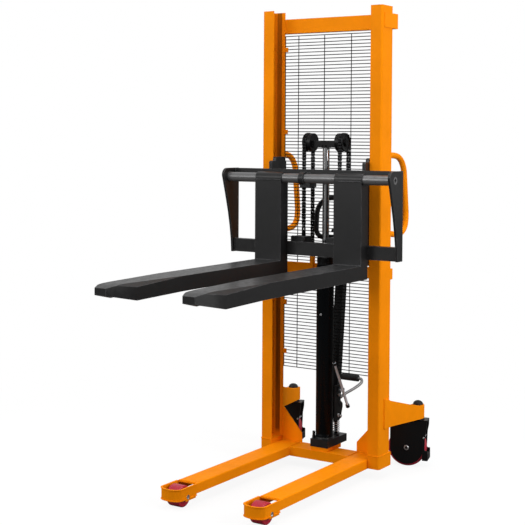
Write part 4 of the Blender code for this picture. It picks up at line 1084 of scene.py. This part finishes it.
# ====================================================================== studio
world = bpy.data.worlds.new("studio")
scene.world = world
world.use_nodes = True
wt = world.node_tree
bg = wt.nodes["Background"]
seen = wt.nodes.new("ShaderNodeBackground")
seen.inputs["Color"].default_value = (1.0, 1.0, 1.0, 1.0)
seen.inputs["Strength"].default_value = 1.0
path = wt.nodes.new("ShaderNodeLightPath")
wmix = wt.nodes.new("ShaderNodeMixShader")
wt.links.new(path.outputs["Is Camera Ray"], wmix.inputs[0])
wt.links.new(bg.outputs[0], wmix.inputs[1])
wt.links.new(seen.outputs[0], wmix.inputs[2])
wt.links.new(wmix.outputs[0], wt.nodes["World Output"].inputs["Surface"])
# the room is lighter behind the object and overhead than behind the camera
tc = wt.nodes.new("ShaderNodeTexCoord")


def toward(direction):
    d = wt.nodes.new("ShaderNodeVectorMath")
    d.operation = "DOT_PRODUCT"
    d.inputs[1].default_value = Vector(direction).normalized()
    wt.links.new(tc.outputs["Generated"], d.inputs[0])
    return d.outputs["Value"]


def lift(value, a, b, lo, hi):
    n = wt.nodes.new("ShaderNodeMapRange")
    n.inputs["From Min"].default_value = a
    n.inputs["From Max"].default_value = b
    n.inputs["To Min"].default_value = lo
    n.inputs["To Max"].default_value = hi
    wt.links.new(value, n.inputs["Value"])
    return n.outputs["Result"]


def plus(a, b):
    n = wt.nodes.new("ShaderNodeMath")
    n.operation = "ADD"
    wt.links.new(a, n.inputs[0])
    wt.links.new(b, n.inputs[1])
    return n.outputs[0]


strength = plus(lift(toward((-0.55, 0.83, 0.0)), -0.1, 1.0, 0.10, 0.55),
                lift(toward((0, 0, 1)), -0.2, 1.0, 0.0, 0.45))
bg.inputs["Color"].default_value = (1.0, 1.0, 1.0, 1.0)
wt.links.new(strength, bg.inputs["Strength"])

fm = Nodes("floor_white")
g = fm.new("ShaderNodeNewGeometry")
sep = fm.new("ShaderNodeVectorMath", operation="LENGTH")
fm.link(g.outputs["Position"], sep.inputs[0])
fade = fm.remap(sep.outputs["Value"], 0.9, 2.4, 0.88, 1.0)
em = fm.new("ShaderNodeEmission")
em.inputs["Color"].default_value = (1, 1, 1, 1)
em.inputs["Strength"].default_value = 1.0
fm.set(Base_Color=(0.97, 0.97, 0.97), Roughness=0.8)
fm.bsdf.inputs["Specular IOR Level"].default_value = 0.1
mixer = fm.new("ShaderNodeMixShader")
fm.link(fade, mixer.inputs[0])
fm.link(fm.bsdf.outputs[0], mixer.inputs[1])
fm.link(em.outputs[0], mixer.inputs[2])
dim = fm.new("ShaderNodeBsdfDiffuse")
dim.inputs["Color"].default_value = (0.16, 0.155, 0.15, 1)
lp = fm.new("ShaderNodeLightPath")
pick = fm.new("ShaderNodeMixShader")
fm.link(lp.outputs["Is Camera Ray"], pick.inputs[0])
fm.link(dim.outputs[0], pick.inputs[1])
fm.link(mixer.outputs[0], pick.inputs[2])
fm.link(pick.outputs[0], fm.out.inputs["Surface"])
bm = bmesh.new()
bmesh.ops.create_circle(bm, cap_ends=True, segments=96, radius=14.0)
mesh = bpy.data.meshes.new("floor")
bm.to_mesh(mesh)
floor = bpy.data.objects.new("floor", mesh)
mesh.materials.append(fm.mat)
scene.collection.objects.link(floor)


def area(name, loc, target, size, power, color=(1, 1, 1)):
    li = bpy.data.lights.new(name, "AREA")
    li.shape = "RECTANGLE"
    li.size, li.size_y = size
    li.energy = power
    li.color = color
    ob = bpy.data.objects.new(name, li)
    ob.location = loc
    ob.rotation_mode = "QUATERNION"
    ob.rotation_quaternion = (Vector(target) - Vector(loc)).to_track_quat("-Z", "Y")
    scene.collection.objects.link(ob)
    return ob


area("key", (-2.2, -4.4, 2.9), (0, 0.2, 0.9), (2.4, 2.4), 92)
soft = area("key_open", (-2.2, -4.4, 2.9), (0, 0.2, 0.9), (2.4, 2.4), 60)
soft.data.use_shadow = False
area("fill", (3.4, 0.3, 1.9), (0.2, 0.3, 0.9), (1.6, 2.4), 86)
area("top", (0.2, -0.5, 4.6), (0, 0.1, 0.3), (2.6, 2.6), 96)

scene.view_settings.view_transform = "Standard"
scene.view_settings.look = "None"

# ====================================================================== camera
YAW, PITCH, ROLL = 0.5762, 0.0309, 0.0054
cam_data = bpy.data.cameras.new("camera")
cam = bpy.data.objects.new("camera", cam_data)
scene.collection.objects.link(cam)
fwd = Vector((-math.sin(YAW) * math.cos(PITCH), math.cos(YAW) * math.cos(PITCH), -math.sin(PITCH)))
right = Vector((math.cos(YAW), math.sin(YAW), 0))
up = right.cross(fwd)
r = right * math.cos(ROLL) + up * math.sin(ROLL)
u = -right * math.sin(ROLL) + up * math.cos(ROLL)
m = Matrix(((r.x, u.x, -fwd.x, 0), (r.y, u.y, -fwd.y, 0), (r.z, u.z, -fwd.z, 0), (0, 0, 0, 1)))
m.translation = Vector((2.6098, -4.4668, 1.4298)) + OFF
cam.matrix_world = m
cam_data.sensor_width = 36.0
cam_data.lens = 83.07
cam_data.shift_y = -0.16726
cam_data.clip_end = 100
scene.camera = cam
